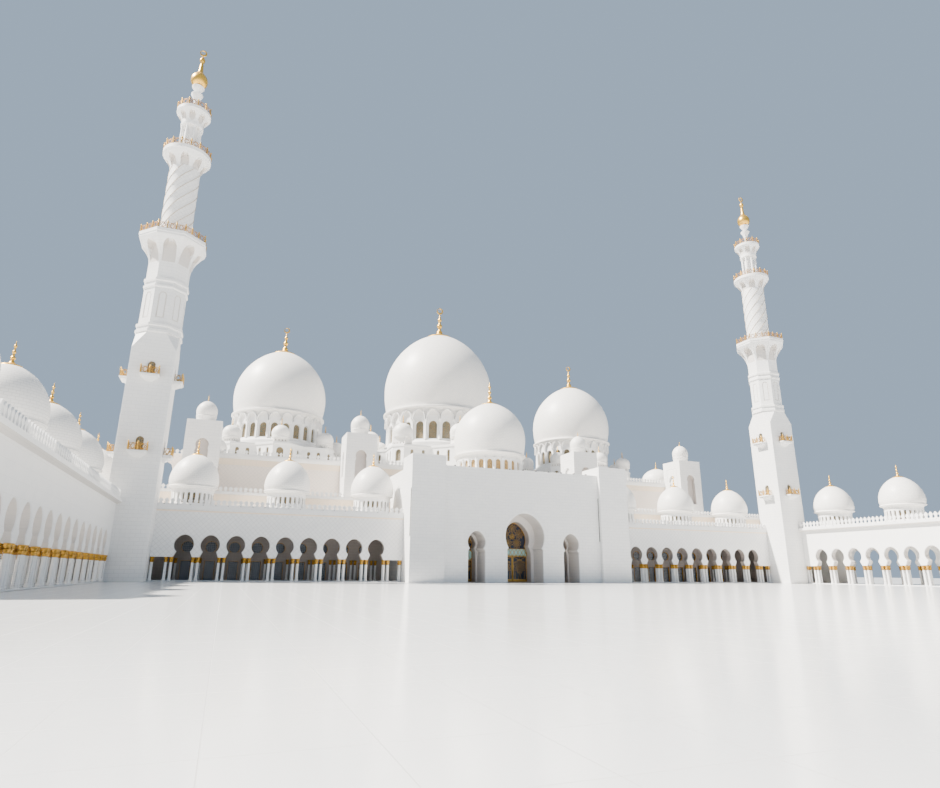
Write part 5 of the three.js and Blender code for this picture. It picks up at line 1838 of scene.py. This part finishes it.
def twisted_shaft(radius):
    swell = (1.006, 1.0, 0.996, 0.994, 0.996, 1.0)
    corners = STRANDS * len(swell)
    bpy.ops.object.select_all(action="DESELECT")
    bpy.ops.mesh.primitive_circle_add(vertices=corners, radius=radius)
    shaft = bpy.context.object
    bpy.ops.object.mode_set(mode="EDIT")
    bpy.ops.transform.translate(value=(0, 0, TWIST_LOW))
    for place, share in enumerate(swell):
        def on_line(v):
            step = round(math.atan2(v.co.y, v.co.x) / (2 * math.pi / corners))
            return step % len(swell) == place

        pick(shaft, "verts", on_line)
        bpy.ops.transform.resize(value=(share, share, 1), center_override=(0, 0, TWIST_LOW))
    bpy.ops.mesh.select_all(action="SELECT")
    rise = (TWIST_HIGH - TWIST_LOW) / TWIST_LEVELS
    for _ in range(TWIST_LEVELS):
        bpy.ops.mesh.extrude_region_move(TRANSFORM_OT_translate={"value": (0, 0, rise)})
        bpy.ops.transform.rotate(value=-TWIST_PER_LEVEL, orient_axis="Z", center_override=(0, 0, 0))
    bpy.ops.mesh.select_all(action="SELECT")
    bpy.ops.mesh.fill_holes(sides=0)
    finish_edit()
    line = [(radius, TWIST_LOW + rise * i) for i in range(TWIST_LEVELS + 1)]
    wrap_uv(shaft, line)
    return shaft


shafts = copies(twisted_shaft(2.74), TOWERS)
settle(shafts, "twisted_shafts", tile_marble, replaces=sides("minaret_twist"), sharp=14)


def climbing_line(radius, half=0.055):
    """A slim square line wound round the shaft along one ridge."""
    low, high = TWIST_LOW + 0.02, TWIST_HIGH - 0.02 - 2 * half
    near, far, top = radius - half, radius + half, low + 2 * half
    square = [(near, 0, low), (far, 0, low), (far, 0, top), (near, 0, top)]
    piece = drawn(square + square[:1])
    bpy.ops.mesh.select_all(action="SELECT")
    bpy.ops.mesh.remove_doubles(threshold=MERGE)
    finish_edit()
    only(piece)
    wind = piece.modifiers.new("wind", "SCREW")
    wind.angle = TWIST_PER_LEVEL * TWIST_LEVELS * (high - low) / (TWIST_HIGH - TWIST_LOW)
    wind.screw_offset = high - low
    wind.steps = wind.render_steps = 72
    bpy.ops.object.modifier_apply(modifier="wind")
    edit(piece)
    bpy.ops.mesh.select_all(action="SELECT")
    bpy.ops.mesh.fill_holes(sides=0)
    finish_edit()
    face_uv(piece)
    return piece


lines = copies(ring_of(climbing_line(2.76), STRANDS), TOWERS)
settle(lines, "twisted_lines", tan_marble)

ROUND_FLARE = [
    (0, 75.4), (2.45, 75.4), (2.62, 76.2), (2.8, 76.9), (3.15, 77.7), (3.6, 78.4), (4.1, 79.0),
    (4.2, 79.25), (4.35, 79.4), (4.35, 80.1), (0, 80.1),
]
flare = turned(ROUND_FLARE, 64)
flare = cut_away(flare, ring_of(plate(arch_line(0.72, 75.0, 77.7, 78.75, 10), -6, -2.62), 8))
flare = settle(copies(flare, TOWERS), "round_flares", smooth_marble,
               replaces=sides("minaret_twist"), sharp=30)
shade_niches(flare, ROUND_FLARE)
railing("round", 16, 4.2, 1, 80.1)

# %% The lantern
LANTERN_CORE = [(0, 80.103), (2.1, 80.103), (2.1, 80.35), (1.95, 80.45), (1.95, 80.55), (1.25, 80.6),
                (1.25, 86.6), (0, 86.6)]
UPPER_FLARE = [
    (0, 86.5), (2.05, 86.5), (2.1, 86.9), (2.0, 87.0), (2.05, 87.6), (2.3, 88.3), (2.75, 89.0),
    (3.05, 89.45), (3.15, 89.6), (3.15, 90.2), (0, 90.2),
]
COLUMN = [(0, 80.5), (0.34, 80.5), (0.34, 80.62), (0.27, 80.75), (0.24, 80.85), (0.22, 86.1),
          (0.28, 86.2), (0.26, 86.3), (0.36, 86.52), (0, 86.52)]
COLUMNS_OUT = 1.75
flare = turned(UPPER_FLARE, 64)
flare = cut_away(flare, ring_of(plate(arch_line(0.56, 87.15, 88.5, 89.2, 8), -5, -2.02), 8))
columns = []
for i in range(8):
    angle = math.pi / 4 * i + math.pi / 8
    columns.append(at(COLUMNS_OUT * math.cos(angle), COLUMNS_OUT * math.sin(angle)))
columns = copies(turned(COLUMN, 12), columns)
lantern = copies(joined([turned(LANTERN_CORE, 32), flare, columns]), TOWERS)
settle(lantern, "lanterns", smooth_marble, replaces=sides("minaret_lantern"), sharp=30)
shade_niches(lantern, UPPER_FLARE, low=86.95)
railing("lantern", 12, 3.0, 1, 90.2)

# %% Neck, ball and crescent
NECK = [(0, 90.203), (0.85, 90.203), (0.7, 90.6), (0.45, 91.3), (0.36, 92.2), (0.42, 93.0), (0.72, 93.9),
        (1.12, 94.65), (1.12, 94.8), (0.55, 94.9), (0.36, 95.1), (0.45, 95.35), (0.75, 95.85),
        (1.15, 96.5), (1.16, 96.65), (0.6, 96.8), (0, 96.8)]
BALL = [(0, 96.7), (0.5, 96.75), (1.0, 97.0), (1.36, 97.4), (1.56, 97.9), (1.6, 98.35), (1.52, 98.85),
        (1.3, 99.32), (1.0, 99.7), (0.72, 100.05), (0.52, 100.45), (0.42, 100.95), (0.37, 101.6),
        (0.31, 102.3), (0.24, 102.7), (0.3, 102.85), (0.46, 103.1), (0.52, 103.4), (0.46, 103.75),
        (0.25, 104.1), (0.1, 104.35), (0.05, 104.62), (0, 104.62)]
tower_gold = joined([turned(BALL, 40), ring_crescent(105.3, 0.69, 0.48, 0.12, 0.09)])
settle(copies(turned(NECK, 40), TOWERS), "minaret_necks", smooth_marble,
       replaces=sides("minaret_finial"))
settle(copies(tower_gold, TOWERS), "minaret_finials", polished_gold, "gilding",
       replaces=sides("minaret_finial"))
print("minarets made:", piece_count)

# %% [markdown]
# ## Stair turrets
# Four plain square turrets rise beside the hall front. The faces have a keyhole niche: the same
# horseshoe line as the arches, sawn a metre deep, and shallower ones on the other three sides inside a
# thin sunk frame.

# %% Turrets
TURRET_HALF = 3.5
DEEP_FOOT, SHALLOW_FOOT = 20.5, 22.5
TURRET_LOW, TURRET_TOP = 16.003, 32.45
KEYHOLE = {"leg": 1.3, "leg_top": 25.9, "neck": 1.14, "radius": 1.28, "middle": 27.2, "crown": 28.55}
TURRET_SPOTS = [at(x, TURRET_Y) for x in (-62.99, -29.44, 29.44, 62.99)]


def turret():
    h = TURRET_HALF
    tower = block(-h, h, -h, h, TURRET_LOW, TURRET_TOP)
    saws = [plate(horseshoe(KEYHOLE, 0, DEEP_FOOT, steps=12), -h - 1, -h + 1.1)]
    for i in range(1, 4):
        side = at(0, 0, angle=math.pi / 2 * i)
        niche = plate(horseshoe(KEYHOLE, 0, SHALLOW_FOOT, steps=12), -h - 1, -h + 0.45)
        frame_saw = block(-2.1, 2.1, -h - 1, -h + 0.06, 19.0, 30.4)
        frame_saw = cut_away(frame_saw, block(-2.02, 2.02, -h - 2, 0, 19.08, 30.32))
        saws += [copies(niche, [side]), copies(frame_saw, [side])]
    return cut_away(tower, joined(saws))


def turret_shade():
    """Darker stone at the back and in the cheeks of the deep niche: painted shade."""
    h = TURRET_HALF
    back = plate(horseshoe(KEYHOLE, 0, DEEP_FOOT, -0.02, steps=12), -h + 1.0, -h + 1.09)
    return joined([back, arch_shade_lining(KEYHOLE, 0, DEEP_FOOT, -h + 0.1, -h + 0.99, 12)])


TURRET_BULB = {"radius": 2.15, "wide_z": 34.95, "crown_z": 37.4, "ring": 2.03, "ring_z": 34.05}
TURRET_RING = [(0, 32.25), (2.1, 32.25), (2.1, 32.6), (2.0, 32.7), (2.0, 33.6), (2.08, 33.7),
               (2.1, 33.85), (2.06, 33.95), (2.0, 34.0)]
TURRET_DOME = TURRET_RING + bulb_line(TURRET_BULB, 4, 12)
settle(copies(turret(), TURRET_SPOTS), "turrets", block_marble,
       replaces=sides("outer_turret") + sides("inner_turret"), sharp=25)
settle(copies(turned(TURRET_DOME, 48), TURRET_SPOTS), "turret_domes", dome_marble,
       replaces=sides("outer_turret") + sides("inner_turret"))
settle(copies(turret_shade(), TURRET_SPOTS), "turret_shade", shade_grey_marble, sharp=25)
turret_gold = gold_top({"radius": 1.5, "crown_z": 37.38, "tip_z": 38.6}, steps=16)
settle(copies(turret_gold, TURRET_SPOTS), "turret_finials", polished_gold, "gilding")

# %% [markdown]
# ## The prayer hall
# The hall's walls, the terraces, the gateway's roof, its side walls and the pylons are right as the
# solids have them, so they keep their meshes and only get their stone. What is added is trim: cream
# bands, cornices, the roof's low corner domes, and the windows behind the arcades.

# %% Stone for the solids that stay
for node_names, stone in (
    (sides("pylon") + sides("portal_side_wall"), block_marble_solid),
    (("portal_roof",) + sides("terrace_roof"), roof_marble),
    (("hall_walls",), cream_tiles_solid),
):
    for node_name in node_names:
        frame["nodes"][node_name].data.materials.clear()
        frame["nodes"][node_name].data.materials.append(stone)

# %% Hall roof and corner domes
HALL_WALL_TOP = 26.003
slab = block(-HALL_HALF, HALL_HALF, HALL_FRONT_Y, HALL_BACK_Y, HALL_WALL_TOP, HALL_TOP_Z)
saws = []
for name, dome, x in GREAT_DOMES:
    radius = dome["drum"] - DRUM_THICK
    hole = turned([(0, 20), (radius, 20), (radius, 50), (0, 50)], 48)
    saws.append(copies(hole, [at(x, HALL_MIDDLE_Y)]))
slab = cut_away(slab, joined(saws))
settle(slab, "hall_roof_slab", roof_marble, "cream_marble", replaces=["hall_roof"])
CORNER_DOME = {
    "radius": 4.2, "wide_z": 28.9, "crown_z": 32.2, "tip_z": 34.2, "ring": 4.05, "ring_z": 28.1,
    "band_z": 27.6, "lip": 4.25, "drum": 3.7,
}
corner_spots = [at(x, y) for x in (-62.4, 62.4) for y in (38.1, 81.7)]
radius = CORNER_DOME["drum"]
foot_ring = turned([(0, 26.5), (radius, 26.5), (radius, 27.5), (0, 27.5)], 48)
corner_domes = copies(joined([foot_ring, bulb(CORNER_DOME, 48)]), corner_spots)
settle(corner_domes, "corner_domes", dome_marble, replaces=["hall_roof"])
settle(copies(gold_top(CORNER_DOME), corner_spots), "corner_finials", polished_gold, "gilding")

# %% Cornices and cream bands of the hall and the second level
BACK_Y, BACK_FAR_Y = 16.0, 17.0
HALL_CORNICE = [(0, 25.75), (-0.08, 25.75), (-0.2, 25.95), (-0.24, 26.0), (-0.24, 26.68), (0, 26.68)]


def round_hall(profile):
    """A moulding on all four sides of the hall."""
    wide = HALL_HALF + 0.24
    made = []
    for start, end, place in (
        (-wide, wide, at(0, HALL_FRONT_Y)),
        (-wide, wide, at(0, HALL_BACK_Y, angle=math.pi)),
        (0, hall_depth, at(HALL_HALF, HALL_FRONT_Y, angle=math.pi / 2)),
        (0, hall_depth, at(-HALL_HALF, HALL_BACK_Y, angle=-math.pi / 2)),
    ):
        strip = moulding(profile, start, end)
        strip.data.transform(place)
        made.append(strip)
    return joined(made)


settle(round_hall(HALL_CORNICE), "hall_cornice", smooth_marble)
settle(round_hall([(0, 24.35), (-0.05, 24.35), (-0.05, 25.7), (0, 25.7)]), "hall_cream_band",
       cream_band, "cream_marble")
made = []
for low, high, depth in ((16.25, SECOND_TOP_Z, 0.16), (14.9, 16.1, 0.05)):
    strip = moulding([(0, low), (-depth, low), (-depth, high), (0, high)], ARCADE_START, OUTER_EDGE_X)
    strip.data.transform(at(0, BACK_Y))
    made.append(copies(strip, BOTH_SIDES))
settle(made[0], "second_level_cornice", smooth_marble)
settle(made[1], "second_level_band", cream_band, "cream_marble")

# %% The wall behind the arcades, with its windows


def round_window(centre, grow=0.0):
    """A circle with a level sill."""
    radius = 1.08 + grow
    border = []
    for i in range(25):
        angle = math.radians(-62 + 304 * i / 24)
        border.append((centre + radius * math.cos(angle), 6.1 + radius * math.sin(angle)))
    return border


def tall_window(centre, grow=0.0):
    half, low, high = 0.95 + grow, 0.15, 3.6 + grow
    return [(centre + half, low), (centre + half, high), (centre - half, high), (centre - half, low)]


# Up to SHADE_TOP the wall is taupe, painted shade under the arcade roof; above it are the cream tiles of
# the second level.
SHADE_TOP = 12.3
wall = block(ARCADE_START, OUTER_EDGE_X, BACK_Y, BACK_FAR_Y, 0, SHADE_TOP)
saws, panes, trims = [], [], []
for i in range(9):
    x = ARCADE_FIRST_X + BAY * i
    for shape in (round_window, tall_window):
        saws.append(plate(shape(x), BACK_Y - 1, BACK_FAR_Y + 1))
        panes.append(plate(shape(x, -0.02), BACK_Y + 0.3, BACK_Y + 0.36))
        trims.append(plate(shape(x, -0.01) + shape(x, -0.07)[::-1], BACK_Y - 0.05, BACK_Y + 0.4))
wall = cut_away(wall, joined(saws))
settle(copies(wall, BOTH_SIDES), "arcade_back_walls", shade_taupe_marble, replaces=sides("arcade_back_wall"))
upper_wall = block(ARCADE_START, OUTER_EDGE_X, BACK_Y, BACK_FAR_Y, SHADE_TOP, SECOND_TOP_Z)
settle(copies(upper_wall, BOTH_SIDES), "second_level_walls", cream_tiles,
       replaces=sides("arcade_back_wall"))
settle(copies(joined(panes), BOTH_SIDES), "back_wall_panes", dark_lattice, "lattice_glass")
settle(copies(joined(trims), BOTH_SIDES), "back_wall_frames", carved_gold, "gilding")
print("pieces in all:", piece_count)
